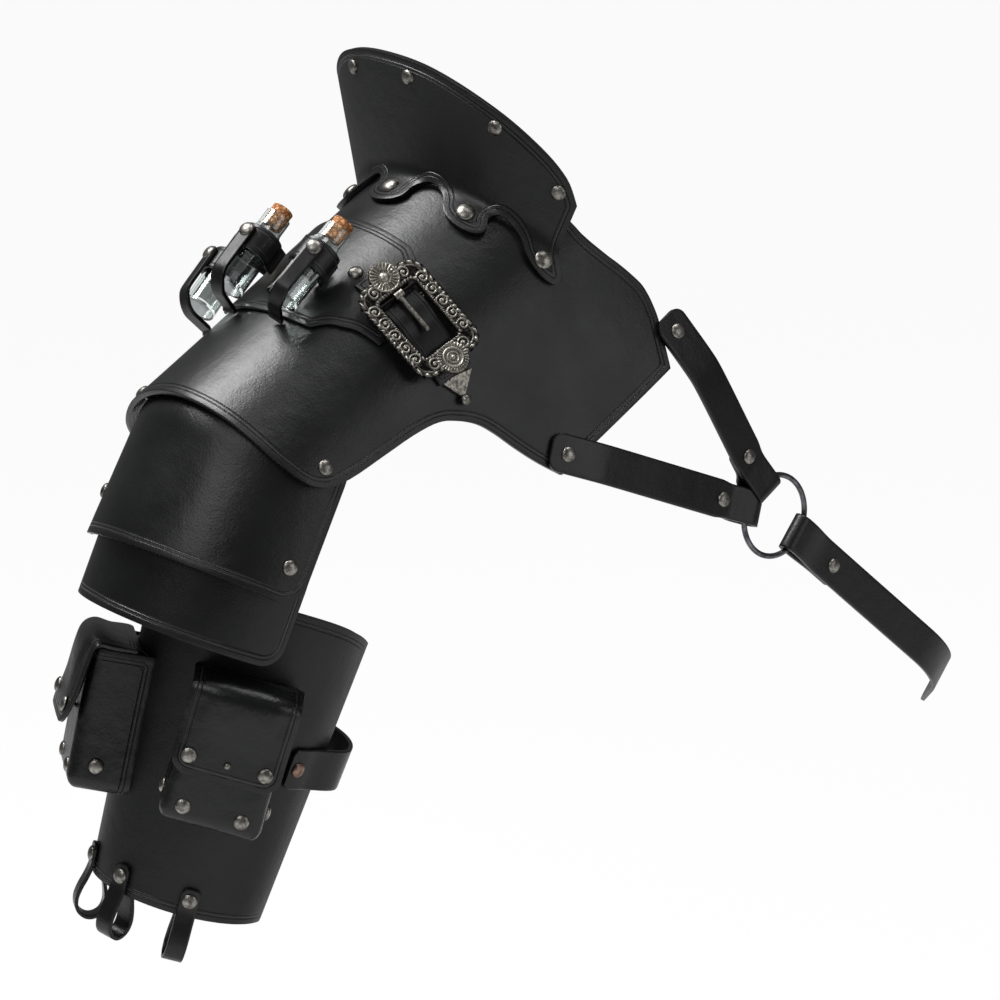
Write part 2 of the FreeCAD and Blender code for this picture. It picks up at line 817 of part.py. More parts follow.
def cradle_shape():
    """A narrow strap from the band, down the vial, round its foot and down to the strip."""
    over = size.vial_radius + size.band_clearance + size.thin_leather + size.sheet_gap
    top = size.band_from_foot + size.band_width - size.rivet_radius / 2
    turn = size.vial_radius / 2
    route = [Vector(over, 0, top - top * share) for share in (0.0, 0.3, 0.6, 0.85)]
    route += [Vector(over - turn / 8, 0, turn / 2), Vector(over - turn, 0, -turn / 2)]
    route += [Vector(over - turn * 2, 0, -turn), Vector(0, 0, -turn), Vector(-turn, 0, -turn)]
    route += [Vector(-over, 0, -turn), Vector(-over - turn, 0, -turn)]
    return strip(route, Vector(0, -1, 0), size.cradle_width, size.thin_leather)


cradle_rivet = rivet_master("cradle_rivet", "rivet_radius", "rivet_dome",
                            "2 * sizes.thin_leather + sizes.sheet_gap", None)
cradle_rivet_places = []
vial_places = {number: vial_place(2 - number) for number in (1, 2, 3)}
rivet_up = size.band_from_foot + size.band_width - size.rivet_radius * 3 / 2
rivet_out = size.vial_radius + size.band_clearance + 2 * size.thin_leather + size.sheet_gap
for number, place in vial_places.items():
    turn = place.multiply(Placement(Vector(), Rotation(Vector(0, 0, 1), size.cradle_turn)))
    seat = turn.multiply(Placement(Vector(rivet_out, 0, rivet_up), Rotation(Vector(0, 1, 0), 90)))
    cradle_rivet_places.append(seat)
    print("vial", number, [round(v, 4) for v in place.Rotation.multVec(Vector(0, 0, 1))])
    feature("vial_%d" % number, placed(vial_master.Shape, place))
    plug = place.multiply(Placement(Vector(0, 0, vial_top - size.cork_depth), Rotation()))
    feature("cork_%d" % number, placed(cork_master.Shape, plug))
    band = placed(band_shape(), place).cut(plate_trim).cut(strip_trim)
    feature("vial_band_%d" % number, drill(band, [seat], hole_radius, rivet_depth))
    cradle = placed(cradle_shape(), turn).cut(plate_trim).cut(strip_trim)
    feature("vial_cradle_%d" % number, drill(cradle, [seat], hole_radius, rivet_depth))
rivets("vial_cradle_rivets", cradle_rivet, cradle_rivet_places)
rivets("vial_strip_rivets", strip_rivet, strip_places)


# Cones that the lames and the arm guard are bent round


class Cone:
    """A leaning cone whose top may roll inwards. Places on it are: down its axis, angle from
    its outer side to the front, and height over its outer face."""

    def __init__(self, name, radius, taper, roll=0.0):
        slope, turn = math.radians(size[name + "_slope"]), math.radians(size[name + "_turn"])
        self.start = Vector(size[name + "_x"], size[name + "_y"], size[name + "_z"])
        self.down = Vector(-math.sin(slope) * math.cos(turn), math.sin(slope) * math.sin(turn),
                           -math.cos(slope))
        self.side = unit(Vector(-1, 0, 0) + self.down * self.down.x)
        self.front = self.side.cross(self.down)
        self.radius, self.taper, self.roll = radius, taper, roll
        self.roll_start = size[name + "_top"] + size.lame_roll_length

    def reach(self, down, height):
        """The radius at a distance down the axis."""
        rolled = max(0.0, self.roll_start - down)
        return self.radius + self.taper * down - self.roll * rolled * rolled + height

    def out(self, angle):
        turn = math.radians(angle)
        return self.side * math.cos(turn) + self.front * math.sin(turn)

    def point(self, down, angle, height):
        return self.start + self.down * down + self.out(angle) * self.reach(down, height)

    def place(self, down, angle, height=0.0):
        """Z away from the face, X down it."""
        out = self.out(angle)
        return frame(self.point(down, angle, height), self.down + out * self.taper,
                     out - self.down * self.taper)

    def read(self, target):
        """Where a point is: down the axis, outward direction, height over the face."""
        rest = target - self.start
        down = rest.dot(self.down)
        flat = rest - self.down * down
        return down, unit(flat), flat.Length - self.reach(down, 0.0)

    def beside(self, target, height):
        """The point over the face nearest to a target."""
        down, out, _ = self.read(target)
        return self.start + self.down * down + out * self.reach(down, height)

    def depth(self, place, height):
        """How far down a place's own Z a layer of the cone lies."""
        low, high = -size.trim_depth, 2 * size.trim_depth
        while high - low > surface_step:
            middle = (low + high) / 2
            if self.read(place.multVec(Vector(0, 0, -middle)))[2] > height:
                low = middle
            else:
                high = middle
        return low

    def solid(self, height):
        """Everything inside a layer of the cone."""
        top, bottom = -2 * size.arm_bottom, 2 * size.arm_bottom
        radii = [self.radius + self.taper * down + height for down in (top, bottom)]
        whole = Part.makeCone(radii[0], radii[1], bottom - top, Vector(0, 0, top))
        return placed(whole, frame(self.start, self.side, self.down))


def cone_rows(cone, middle, half, top, bottom, corner, top_drop=0.0):
    """Rows down the face, the lower corners rounded and the upper ones dropped."""
    rows = []
    for angle in end_crowded(middle - half, middle + half, 29):
        inset = math.radians(half - abs(angle - middle)) * cone.radius
        rest = min(corner, max(0.0, corner - inset))
        cut = corner - math.sqrt((corner - rest) * (corner + rest))
        start = top + top_drop * (abs(angle - middle) / half) ** 4
        rows.append([(down, angle) for down in spaced(start, bottom - cut, 7)])
    return rows


upper_cone = Cone("upper", size.upper_radius, size.upper_taper, size.upper_roll)
lower_cone = Cone("lower", size.lower_radius, 0.0, size.lower_roll)
arm_cone = Cone("arm", size.arm_guard_radius, size.arm_taper)

upper_rows = cone_rows(upper_cone, size.upper_middle, size.upper_half, size.upper_top,
                       size.upper_bottom, size.lame_corner)
upper_solid = bent_sheet(upper_cone.point, upper_rows, size.leather, -size.leather)
lower_rows = cone_rows(lower_cone, size.lower_middle, size.lower_half, size.lower_top,
                       size.lower_bottom, size.lame_corner)
lower_solid = bent_sheet(lower_cone.point, lower_rows, size.leather, -size.leather)
arm_rows = cone_rows(arm_cone, size.arm_middle, size.arm_half, size.arm_top, size.arm_bottom, 0.0,
                     size.arm_top_drop)
arm_solid = bent_sheet(arm_cone.point, arm_rows, size.leather, -size.leather)


def pivot_rivets(label, name, places, grips):
    """A pivot's two rivets, each long enough for the layers it holds."""
    pair = []
    for index, (place, grip) in enumerate(zip(places, grips)):
        master = rivet_master("%s_%d" % (name, index), "rivet_radius", "rivet_dome", "%.3f" % grip,
                              "pivot_washer_gap")
        pair.append(placed(master.Shape, place))
    return feature(label, Part.makeCompound(pair))


def report_hinge(name, places, grips):
    """Prints a hinge's axis, from its rear rivet to its front one, at the middle of the grip."""
    front, rear = (place.multVec(Vector(0, 0, -grip / 2)) for place, grip in zip(places, grips))
    middle, axis = (front + rear) / 2, unit(front - rear)
    print("hinge", name, [round(number, 4) for number in (*middle, *axis)])


pivot_radius = size.shank_radius + size.pivot_clearance
cap_grips = [upper_cone.depth(place, -size.leather) for place in cap_pivots]
report_hinge("upper", cap_pivots, cap_grips)
plate_solid = drill(plate_solid, cap_pivots, hole_radius, rivet_depth)
upper_solid = drill(upper_solid, cap_pivots, pivot_radius, 2 * rivet_depth)
pivot_rivets("cap_pivot_rivets", "cap_pivot", cap_pivots, cap_grips)

lame_pivots = [upper_cone.place(size.lame_pivot_front_down, size.lame_pivot_front_angle),
               upper_cone.place(size.lame_pivot_rear_down, size.lame_pivot_rear_angle)]
hanger_under = size.leather + size.sheet_gap + size.strap_leather
lame_grips = [lower_cone.depth(place, -hanger_under) for place in lame_pivots]
report_hinge("lower", lame_pivots, lame_grips)
print("cap grips", cap_grips, "lame grips", lame_grips)
upper_solid = drill(upper_solid, lame_pivots, hole_radius, rivet_depth)
lower_solid = drill(lower_solid, lame_pivots, pivot_radius, 2 * rivet_depth)
pivot_rivets("lame_pivot_rivets", "lame_pivot", lame_pivots, lame_grips)

guard_cap_up = 2 * size.sheet_gap + size.strap_leather
guard_pivots = [arm_cone.place(size.hanger_pivot_top, angle, guard_cap_up)
                for angle in (size.hanger_front_angle, size.hanger_rear_angle)]
guard_grips = [guard_cap_up + size.leather] * 2
report_hinge("arm", guard_pivots, guard_grips)
arm_solid = drill(arm_solid, guard_pivots, hole_radius, rivet_depth)
pivot_rivets("guard_pivot_rivets", "guard_pivot", guard_pivots, guard_grips)

feature("lame_upper", upper_solid)
feature("lame_lower", lower_solid)


def hanger(label, upper, lower):
    """A strap from inside the lower lame to outside the arm guard."""
    start, end = lower_cone.beside(upper.Base, 0.0), arm_cone.beside(lower.Base, 0.0)
    along = unit(end - start)
    half = size.hanger_width / 2
    start, end = start - along * half, end + along * half
    across = unit(along.cross(upper.Rotation.multVec(Vector(0, 0, 1))))

    def surface(share, side, height):
        target = start + (end - start) * share + across * side
        under = lower_cone.beside(target, height - size.leather - size.sheet_gap - size.strap_leather)
        over = arm_cone.beside(target, height + 2 * size.sheet_gap)
        blend = smooth_step(hanger_shares[0], hanger_shares[1], share)
        return under * (1 - blend) + over * blend

    rows = [[(share, side) for side in spaced(-half, half, 5)] for share in spaced(0.0, 1.0, 15)]
    solid = bent_sheet(surface, rows, size.strap_leather)
    solid = drill(solid, [upper], pivot_radius, 2 * rivet_depth)
    solid = drill(solid, [lower], pivot_radius, rivet_depth)
    return feature(label, solid)


hanger_shares = (0.35, 0.62)
hanger("hanger_strap_front", lame_pivots[0], guard_pivots[0])
hanger("hanger_strap_rear", lame_pivots[1], guard_pivots[1])


# The strap that closes the arm guard on the inner side of the arm


def arm_strap_face(down, angle, height):
    """Flat on the guard at both ends, standing off it over the opening."""
    rise = smooth_step(*arm_strap_rise_angles, angle) - smooth_step(*arm_strap_fall_angles, angle)
    return arm_cone.point(down, angle, height + size.arm_strap_bulge * rise)


arm_strap_rise_angles, arm_strap_fall_angles = (103.0, 130.0), (250.0, 277.0)
arm_strap_rivet_angles = (size.arm_strap_front, size.arm_strap_rear)
end_angle = math.degrees(size.rivet_radius * 3 / 2 / size.arm_guard_radius)
arm_strap_half = size.arm_strap_width / 2
arm_strap_rows = [[(down, angle) for down in spaced(size.arm_strap_down - arm_strap_half,
                                                    size.arm_strap_down + arm_strap_half, 5)]
                  for angle in spaced(size.arm_strap_front - end_angle, size.arm_strap_rear + end_angle, 41)]
arm_strap_places = [arm_cone.place(size.arm_strap_down, angle, size.sheet_gap + size.strap_leather)
                    for angle in arm_strap_rivet_angles]
arm_strap_solid = bent_sheet(arm_strap_face, arm_strap_rows, size.strap_leather, size.sheet_gap)
feature("arm_strap", drill(arm_strap_solid, arm_strap_places, hole_radius, rivet_depth))
arm_solid = drill(arm_solid, arm_strap_places, hole_radius, rivet_depth)
strap_rivet = rivet_master("strap_rivet", "rivet_radius", "rivet_dome",
                           "sizes.leather + sizes.sheet_gap + sizes.strap_leather")
rivets("arm_strap_rivets", strap_rivet, arm_strap_places)


# Belt loops under the arm guard


def belt_loop_shape():
    """A folded strap, seen in the frame of its rivet: X down, Z away from the guard."""
    edge = size.belt_loop_rivet_up
    outer, inner = size.sheet_gap, -size.leather - size.belt_loop_inner_gap
    middle, belly = (outer + inner) / 2, size.belt_loop_belly
    route = [Vector(edge * share, 0, outer) for share in (-0.7, -0.3, 0.0, 0.35, 0.7)]
    for down, out in belt_loop_shares:
        route.append(Vector(edge + size.belt_loop_drop * down, 0, middle + belly * out))
    for down, out in reversed(belt_loop_shares[:-1]):
        route.append(Vector(edge + size.belt_loop_drop * down, 0, middle - belly * out))
    route += [Vector(edge * share, 0, inner) for share in (0.7, 0.35, 0.0, -0.3, -0.7)]
    return strip(route, Vector(0, -1, 0), size.belt_loop_width, size.thin_leather)


belt_loop_shares = [(0.14, 0.46), (0.36, 0.72), (0.60, 0.86), (0.80, 0.66), (0.90, 0.0)]
belt_loop_rivet = rivet_master("belt_loop_rivet", "rivet_radius", "rivet_dome",
                               "sizes.leather + sizes.sheet_gap + 2 * sizes.thin_leather "
                               "+ sizes.belt_loop_inner_gap")
loop_up = size.sheet_gap + size.thin_leather
for number, angle in ((1, size.loop_angle_front), (2, size.loop_angle_middle), (3, size.loop_angle_rear)):
    place = arm_cone.place(size.arm_bottom - size.belt_loop_rivet_up, angle)
    capped = place.multiply(Placement(Vector(0, 0, loop_up), Rotation()))
    loop = placed(belt_loop_shape(), place)
    feature("belt_loop_%d" % number, drill(loop, [capped], hole_radius, rivet_depth))
    rivets("belt_loop_rivet_%d" % number, belt_loop_rivet, [capped])
    arm_solid = drill(arm_solid, [capped], hole_radius, rivet_depth)
    normal = place.Rotation.multVec(Vector(0, 0, 1))
    print("loop", number, [round(v, 4) for v in (*place.Base, *normal)])


# Pouches on the arm guard, each seen in a frame of its own: X down, Y across, Z away


def pouch_block(margin, lower_radius):
    """The pouch's outline, smaller all round by a margin, rounded at its lower corners."""
    height, half = size.pouch_height - margin, size.pouch_width / 2 - margin
    depth = size.pouch_depth - margin
    block = Part.makeBox(height, 2 * half, 2 * depth, Vector(0, -half, -depth))
    uprights = [edge for edge in block.Edges
                if abs(edge.CenterOfMass.x - height) < surface_step
                and abs(edge.CenterOfMass.z) < surface_step]
    block = block.makeFillet(lower_radius, uprights)
    front = [edge for edge in block.Edges if abs(edge.CenterOfMass.z - depth) < surface_step
             and edge.CenterOfMass.x > surface_step]
    return block.makeFillet(size.pouch_front_corner - margin, front)


def pouch_shape(place):
    wall = size.thin_leather
    outside = placed(pouch_block(0.0, size.pouch_corner), place).cut(arm_cone.solid(size.sheet_gap))
    inside = placed(pouch_block(wall, size.pouch_corner - wall), place)
    inside = inside.fuse(inside.translated(place.Rotation.multVec(Vector(-size.cut_overrun, 0, 0))))
    return outside.cut(inside.cut(arm_cone.solid(size.sheet_gap + wall)))


def flap_shape():
    """A sheet over the pouch's mouth and down its front."""
    out = size.pouch_depth + size.flap_gap
    bend, back, top = size.flap_bend, size.sheet_gap + size.flap_gap, -size.flap_gap
    route = [Vector(top, 0, back + (out - bend - back) * share) for share in spaced(0.0, 1.0, 5)]
    for turn in spaced(0.0, math.pi / 2, 5)[1:]:
        route.append(Vector(top + bend - bend * math.cos(turn), 0, out - bend + bend * math.sin(turn)))
    drop = size.flap_drop - bend
    route += [Vector(top + bend + drop * share, 0, out) for share in spaced(0.0, 1.0, 9)[1:]]
    flap = strip(route, Vector(0, -1, 0), size.flap_width, size.thin_leather)
    low = [edge for edge in flap.Edges if edge.CenterOfMass.x > size.flap_drop - surface_step - size.flap_gap
           and abs(edge.CenterOfMass.z - out - size.thin_leather / 2) < surface_step
           and abs(edge.Length - size.thin_leather) < surface_step]
    flap = flap.makeFillet(size.flap_corner, low)
    slot_radius = size.stud_ball + size.stud_clearance
    centre = Vector(size.stud_down, 0, out - size.cut_overrun)
    slot = Part.makeCylinder(slot_radius, 3 * size.cut_overrun, centre)
    lower = slot.translated(Vector(size.stud_slot, 0, 0))
    bridge = Part.makeBox(size.stud_slot, 2 * slot_radius, 3 * size.cut_overrun,
                          centre - Vector(0, slot_radius, 0))
    return flap.cut(slot).cut(lower).cut(bridge)


stud_neck = bound("Part::Cylinder", "stud_neck", Radius="sizes.stud_neck_radius",
                  Height="sizes.stud_height - sizes.stud_ball + sizes.thin_leather + sizes.sheet_gap")
stud_neck.setExpression("Placement.Base.z", "-sizes.thin_leather - sizes.sheet_gap")
stud_head = bound("Part::Sphere", "stud_head", Radius="sizes.stud_ball")
stud_head.setExpression("Placement.Base.z", "sizes.stud_height - sizes.stud_ball")
stud_foot = bound("Part::Cylinder", "stud_foot", Radius="sizes.stud_radius", Height="sizes.washer_height")
stud_foot.setExpression("Placement.Base.z", "-sizes.thin_leather - sizes.sheet_gap - sizes.washer_height")
stud_master = doc.addObject("Part::MultiFuse", "stud")
stud_master.Shapes = [stud_neck, stud_head, stud_foot]
doc.recompute()
flap_rivet = rivet_master("flap_rivet", "rivet_radius", "rivet_dome", "sizes.thin_leather", None)
wall_rivet = rivet_master("wall_rivet", "rivet_radius", "rivet_dome", "sizes.thin_leather", "sheet_gap")
back_rivet = rivet_master("back_rivet", "rivet_radius", "rivet_dome",
                          "sizes.leather + sizes.sheet_gap + sizes.thin_leather", "sheet_gap")
stud_places, wall_places, back_places = [], [], []
for number, top, angle, open_angle in ((1, size.pouch_front_top, size.pouch_front_angle, 0.0),
                                       (2, size.pouch_rear_top, size.pouch_rear_angle, size.flap_open)):
    place = arm_cone.place(top, angle)
    stud_place = place.multiply(Placement(Vector(size.stud_down, 0, size.pouch_depth), Rotation()))
    walls = [place.multiply(Placement(Vector(size.wall_rivet_down, side * size.wall_rivet_side,
                                             size.pouch_depth), Rotation())) for side in (1, -1)]
    for side in (1, -1):
        walls.append(place.multiply(Placement(
            Vector(size.side_rivet_down, side * size.pouch_width / 2, size.side_rivet_out),
            Rotation(Vector(1, 0, 0), -90 * side))))
    backs = [arm_cone.place(top + size.back_rivet_down, angle + side * size.back_rivet_angle,
                            size.sheet_gap + size.thin_leather) for side in (1, -1)]
    pouch = drill(pouch_shape(place), [stud_place] + walls, hole_radius, size.cut_overrun)
    pouch = drill(pouch, backs, hole_radius, rivet_depth)
    arm_solid = drill(arm_solid, backs, hole_radius, rivet_depth)
    feature("pouch_%d" % number, pouch)
    stud_places.append(stud_place)
    wall_places += walls
    back_places += backs
    hinge = Vector(-size.flap_gap - size.thin_leather, 0, size.sheet_gap + size.flap_gap)
    swing = place.multiply(Placement(Vector(), Rotation(Vector(0, 1, 0), -open_angle), hinge))
    flap_seats = [Placement(Vector(size.flap_rivet_down, side * size.flap_rivet_side,
                                   size.pouch_depth + size.flap_gap + size.thin_leather), Rotation())
                  for side in (1, -1)]
    flap = drill(flap_shape(), flap_seats, hole_radius, size.cut_overrun)
    feature("pouch_flap_%d" % number, placed(flap, swing))
    rivets("flap_rivets_%d" % number, flap_rivet, [swing.multiply(seat) for seat in flap_seats])
    hinge_point, hinge_axis = place.multVec(hinge), place.Rotation.multVec(Vector(0, -1, 0))
    print("flap", number, [round(v, 4) for v in (*hinge_point, *hinge_axis)])
rivets("pouch_studs", stud_master, stud_places)
rivets("pouch_wall_rivets", wall_rivet, wall_places)
rivets("pouch_back_rivets", back_rivet, back_places)
feature("arm_guard", arm_solid)


# The harness ring and straps


ring_centre = Vector(size.ring_x, size.ring_y, size.ring_z)
chest = Vector(0, -1, 0)
ring_item = bound("Part::Torus", "o_ring_body", Radius1="sizes.ring_radius", Radius2="sizes.ring_wire")
ring_item.Placement = Placement(ring_centre, Rotation(Vector(0, 0, 1), chest))
doc.recompute()
keep(ring_item, "o_ring")


def fold_route(wire, line, slack, clearance):
    """The end of a strap: out along a line to the ring's wire, round it and back under itself.
    wire is the wire's centre, and line gives the strap's own face at a distance before it."""
    apart = size.ring_wire + clearance
    front = [line(back) for back in (fold_shares[0], fold_shares[1])]
    route = [Vector(point.x, point.y + size.sheet_gap / 2, 0) for point in front]
    route += [wire + Vector(-apart * 2, apart, 0), wire + Vector(slack / 2, apart, 0)]
    for turn in spaced(0.0, math.pi, 17):
        route.append(wire + Vector(slack + apart * math.sin(turn), apart * math.cos(turn), 0))
    route += [wire + Vector(slack / 2, -apart, 0), wire + Vector(-apart * 2, -apart, 0)]
    back = [line(step) for step in (fold_shares[1], fold_shares[0], fold_shares[2])]
    return route + [Vector(point.x, point.y - size.sheet_gap / 2, 0) for point in back]


fold_shares = (0.66, 0.45, 0.95)


def flat_frame(origin, along, out):
    """A placement whose X runs along a strap and whose Y points away from the body."""
    third = unit(along.cross(out))
    first = unit(along)
    return Placement(Vector(origin), Rotation(first, third.cross(first), third, "ZXY"))


def harness_strap(label, place, plate_rest):
    """From a rivet on the plate, flat over its edge, then bent in to the ring."""
    rivet = place.Base
    out = place.Rotation.multVec(Vector(0, 0, 1))
    to_ring = ring_centre - rivet
    across = unit(out.cross(to_ring))
    local = flat_frame(rivet, across.cross(out), out)
    back = local.inverse()
    lift = -size.strap_leather
    near = ring_centre - unit(to_ring - chest * to_ring.dot(chest)) * size.ring_radius
    wire = back.multVec(near)
    wire = Vector(wire.x, wire.y, 0)
    bend = Vector(plate_rest, lift, 0)
    slope = unit(wire - bend)

    def line(share):
        return wire - slope * (share * size.harness_fold)

    route = [Vector(-size.strap_end, lift, 0), bend - Vector(size.strap_end / 2, 0, 0)]
    route += [bend + (line(0.0) - bend) * (size.strap_end / 2 / (wire - bend).Length)]
    route += [line(fold_shares[2])] + fold_route(wire, line, size.harness_slack, size.harness_clearance)
    solid = placed(folded_strip(route, size.harness_width, size.strap_leather), local)
    middle = line(size.fold_rivet_back / size.harness_fold)
    turn = Placement(Vector(middle.x, middle.y, 0), flat_frame(Vector(), slope, Vector(0, 1, 0)).Rotation)
    seat = local.multiply(turn).multiply(Placement(
        Vector(0, size.sheet_gap / 2 + size.strap_leather, 0), Rotation(Vector(1, 0, 0), -90)))
    other = ring_centre - (harness_places[0].Base + harness_places[1].Base) / 2
    between_straps = unit(Vector(other.x, 0, other.z))
    aside = unit(chest.cross(between_straps))
    if aside.dot(rivet - ring_centre) > 0:
        aside = -aside
    waste = Part.makeBox(4 * size.harness_width, 4 * size.harness_width, 2 * size.harness_width,
                         Vector(-2 * size.harness_width, -2 * size.harness_width,
                                -size.harness_clearance / 2))
    solid = solid.cut(placed(waste, frame(ring_centre, between_straps, aside)))
    solid = drill(solid, [place], hole_radius, size.cut_overrun)
    feature(label, drill(solid, [seat], hole_radius, rivet_depth))
    return seat


harness_up = size.strap_leather + size.strap_seat
harness_places = [plate_place(size.upper_harness_share, size.upper_harness_across, harness_up),
                  plate_place(size.lower_harness_share, size.lower_harness_across, harness_up)]
plate_solid = drill(plate_solid, harness_places, hole_radius, rivet_depth)
fold_places = [harness_strap("harness_strap_upper", harness_places[0], size.upper_harness_rest),
               harness_strap("harness_strap_lower", harness_places[1], size.lower_harness_rest)]
harness_rivet = rivet_master("harness_rivet", "rivet_radius", "rivet_dome",
                             "sizes.leather + sizes.strap_seat + sizes.strap_leather")
fold_rivet = rivet_master("fold_rivet", "rivet_radius", "rivet_dome",
                          "2 * sizes.strap_leather + sizes.sheet_gap", "sheet_gap")
rivets("harness_plate_rivets", harness_rivet, harness_places)
rivets("harness_fold_rivets", fold_rivet, fold_places)


def chest_strap():
    """From the ring across the chest: straight, then bent round the wearer's side."""
    drop = math.radians(size.chest_strap_drop)
    along = Vector(-math.cos(drop), 0, math.sin(drop))
    local = flat_frame(ring_centre - along * size.ring_radius, along, chest)
    radius, turn = size.chest_strap_bend, math.radians(size.chest_strap_turn)
    bend_start = -size.chest_strap_straight
    end = Vector(bend_start - radius * math.sin(turn), -radius * (1 - math.cos(turn)), 0)
    way = Vector(-math.cos(turn), -math.sin(turn), 0)
    route = [end + way * size.chest_strap_tail]
    for angle in spaced(turn, 0.0, 25):
        route.append(Vector(bend_start - radius * math.sin(angle), -radius * (1 - math.cos(angle)), 0))

    def line(share):
        return Vector(-share * size.chest_fold, 0, 0)

    route += [line(fold_shares[2])] + fold_route(Vector(), line, size.chest_slack, size.chest_clearance)
    solid = placed(folded_strip(route, size.harness_width, size.strap_leather), local)
    up = size.sheet_gap / 2 + size.strap_leather
    seat = local.multiply(Placement(Vector(-size.chest_rivet_back, up, 0), Rotation(Vector(1, 0, 0), -90)))
    holes = []
    for step in range(3):
        centre = end + way * (size.chest_strap_tail - size.billet_pitch * (step + 0.5))
        turned = Placement(Vector(centre.x, centre.y, 0), flat_frame(Vector(), way, Vector(0, 1, 0)).Rotation)
        holes.append(local.multiply(turned).multiply(Placement(Vector(), Rotation(Vector(1, 0, 0), -90))))
    solid = drill(solid, [seat], hole_radius, rivet_depth)
    solid = drill(solid, holes, size.billet_hole, size.cut_overrun)
    feature("chest_strap", solid)
    rivets("chest_strap_rivet", fold_rivet, [seat])
    for hole in holes:
        axis = hole.Rotation.multVec(Vector(0, 0, 1))
        centre = hole.multVec(Vector(0, 0, size.strap_leather / 2))
        print("billet", [round(v, 4) for v in (*centre, *axis)])


chest_strap()


# The buckle over the plate's front

strip_end_shares = (-0.35, 0.35)
tip_shares = [(0.0, -0.9), (0.0, 0.9), (0.5, 0.42), (0.8, 0.12), (0.8, -0.12), (0.5, -0.42)]


buckle_origin = Vector(size.buckle_x, size.buckle_y, size.buckle_z)
buckle_along = Vector(size.buckle_along_x, size.buckle_along_y, size.buckle_along_z)
buckle_out = Vector(size.buckle_out_x, size.buckle_out_y, size.buckle_out_z)
buckle_frame = frame(buckle_origin, buckle_along, buckle_out)


def under_buckle(x, y, height):
    """The point over the plate below a place of the buckle's own plane."""
    share, across = under_buckle.start
    first = buckle_frame.Rotation.multVec(Vector(1, 0, 0))
    second = buckle_frame.Rotation.multVec(Vector(0, 1, 0))
    target = buckle_frame.multVec(Vector(x, y, 0))
    for _ in range(8):
        here = plate_face(share, across)
        ahead = (plate_face(share + surface_step, across) - here) / surface_step
        aside = (plate_face(share, across + surface_step) - here) / surface_step
        rest = target - here
        a, b, c, d = ahead.dot(first), aside.dot(first), ahead.dot(second), aside.dot(second)
        e, f = rest.dot(first), rest.dot(second)
        share += (e * d - b * f) / (a * d - b * c)
        across += (a * f - e * c) / (a * d - b * c)
    under_buckle.start = (share, across)
    return on_plate(share, across, height)


under_buckle.start = (plate_share(size.buckle_x), size.buckle_across)
half_length, half_width = size.buckle_length / 2, size.buckle_width / 2
window_half, window_side = size.window_length / 2, size.window_width / 2


def buckle_strap_face(x, y, height):
    """Flat under the buckle's bars, over the vial strip's end, and arched in its window."""
    arch = size.buckle_strap_arch * (1 + math.cos(math.pi * min(1.0, abs(x) / window_half))) / 2
    over_strip = (size.thin_leather + size.sheet_gap) * (1 - smooth_step(*strip_end_shares, x / window_half))
    return under_buckle(x, y, height + arch + over_strip)


posts = []
buckle = Part.makeBox(2 * half_length, 2 * half_width, size.buckle_plate,
                      Vector(-half_length, -half_width, size.buckle_lift))
corners = [edge for edge in buckle.Edges if abs(edge.Length - size.buckle_plate) < surface_step]
buckle = buckle.makeFillet(size.buckle_corner, corners)
window = Part.makeBox(2 * window_half, 2 * window_side, size.buckle_plate,
                      Vector(-window_half, -window_side, size.buckle_lift))
buckle = buckle.cut(window)
pin_x = -window_half + size.tongue_eye_radius + size.tongue_pin_clearance
pin_z = size.buckle_lift + size.buckle_plate / 2
pin = Part.makeCylinder(size.tongue_pin_radius, 2 * window_side, Vector(pin_x, -window_side, pin_z),
                        Vector(0, 1, 0))
buckle = buckle.fuse(pin)
for centre, radius in ((-size.rosette_offset, size.rosette_radius),
                       (size.medallion_offset, size.medallion_radius)):
    foot = buckle_frame.inverse().multVec(under_buckle(centre, 0.0, 0.0))
    disc = Part.makeCylinder(radius, size.rosette_height, Vector(centre, 0, size.buckle_lift))
    inner = foot.z - size.leather - size.post_gap
    post = Part.makeCylinder(size.post_radius, size.buckle_lift - inner, Vector(centre, 0, inner))
    peen = Part.makeCylinder(size.washer_radius, size.washer_height,
                             Vector(centre, 0, inner - size.washer_height))
    buckle = buckle.fuse([disc, post, peen])
    posts.append(buckle_frame.multiply(Placement(Vector(centre, 0, 0), Rotation())))
feature("buckle_frame", placed(buckle.removeSplitter(), buckle_frame))
post_hole = size.post_radius + size.shank_clearance
plate_solid = drill(plate_solid, posts, post_hole, size.post_depth)
feature("vial_strip", drill(strip_solid, posts, post_hole, size.post_depth))

eye = Part.makeCylinder(size.tongue_eye_radius, size.tongue_eye_width,
                        Vector(pin_x, -size.tongue_eye_width / 2, pin_z), Vector(0, 1, 0))
rod = Part.makeCylinder(size.tongue_radius, size.tongue_length, Vector(pin_x, 0, pin_z), Vector(1, 0, 0))
tongue = eye.fuse(rod).fuse(Part.makeSphere(size.tongue_radius, Vector(pin_x + size.tongue_length, 0, pin_z)))
pin_hole = Part.makeCylinder(size.tongue_pin_radius + size.tongue_pin_clearance, size.tongue_eye_width,
                             Vector(pin_x, -size.tongue_eye_width / 2, pin_z), Vector(0, 1, 0))
feature("buckle_tongue", placed(tongue.cut(pin_hole), buckle_frame))
pin_point, pin_axis = (buckle_frame.multVec(Vector(pin_x, 0, pin_z)),
                       buckle_frame.Rotation.multVec(Vector(0, -1, 0)))
print("tongue", [round(v, 4) for v in (*pin_point, *pin_axis)])

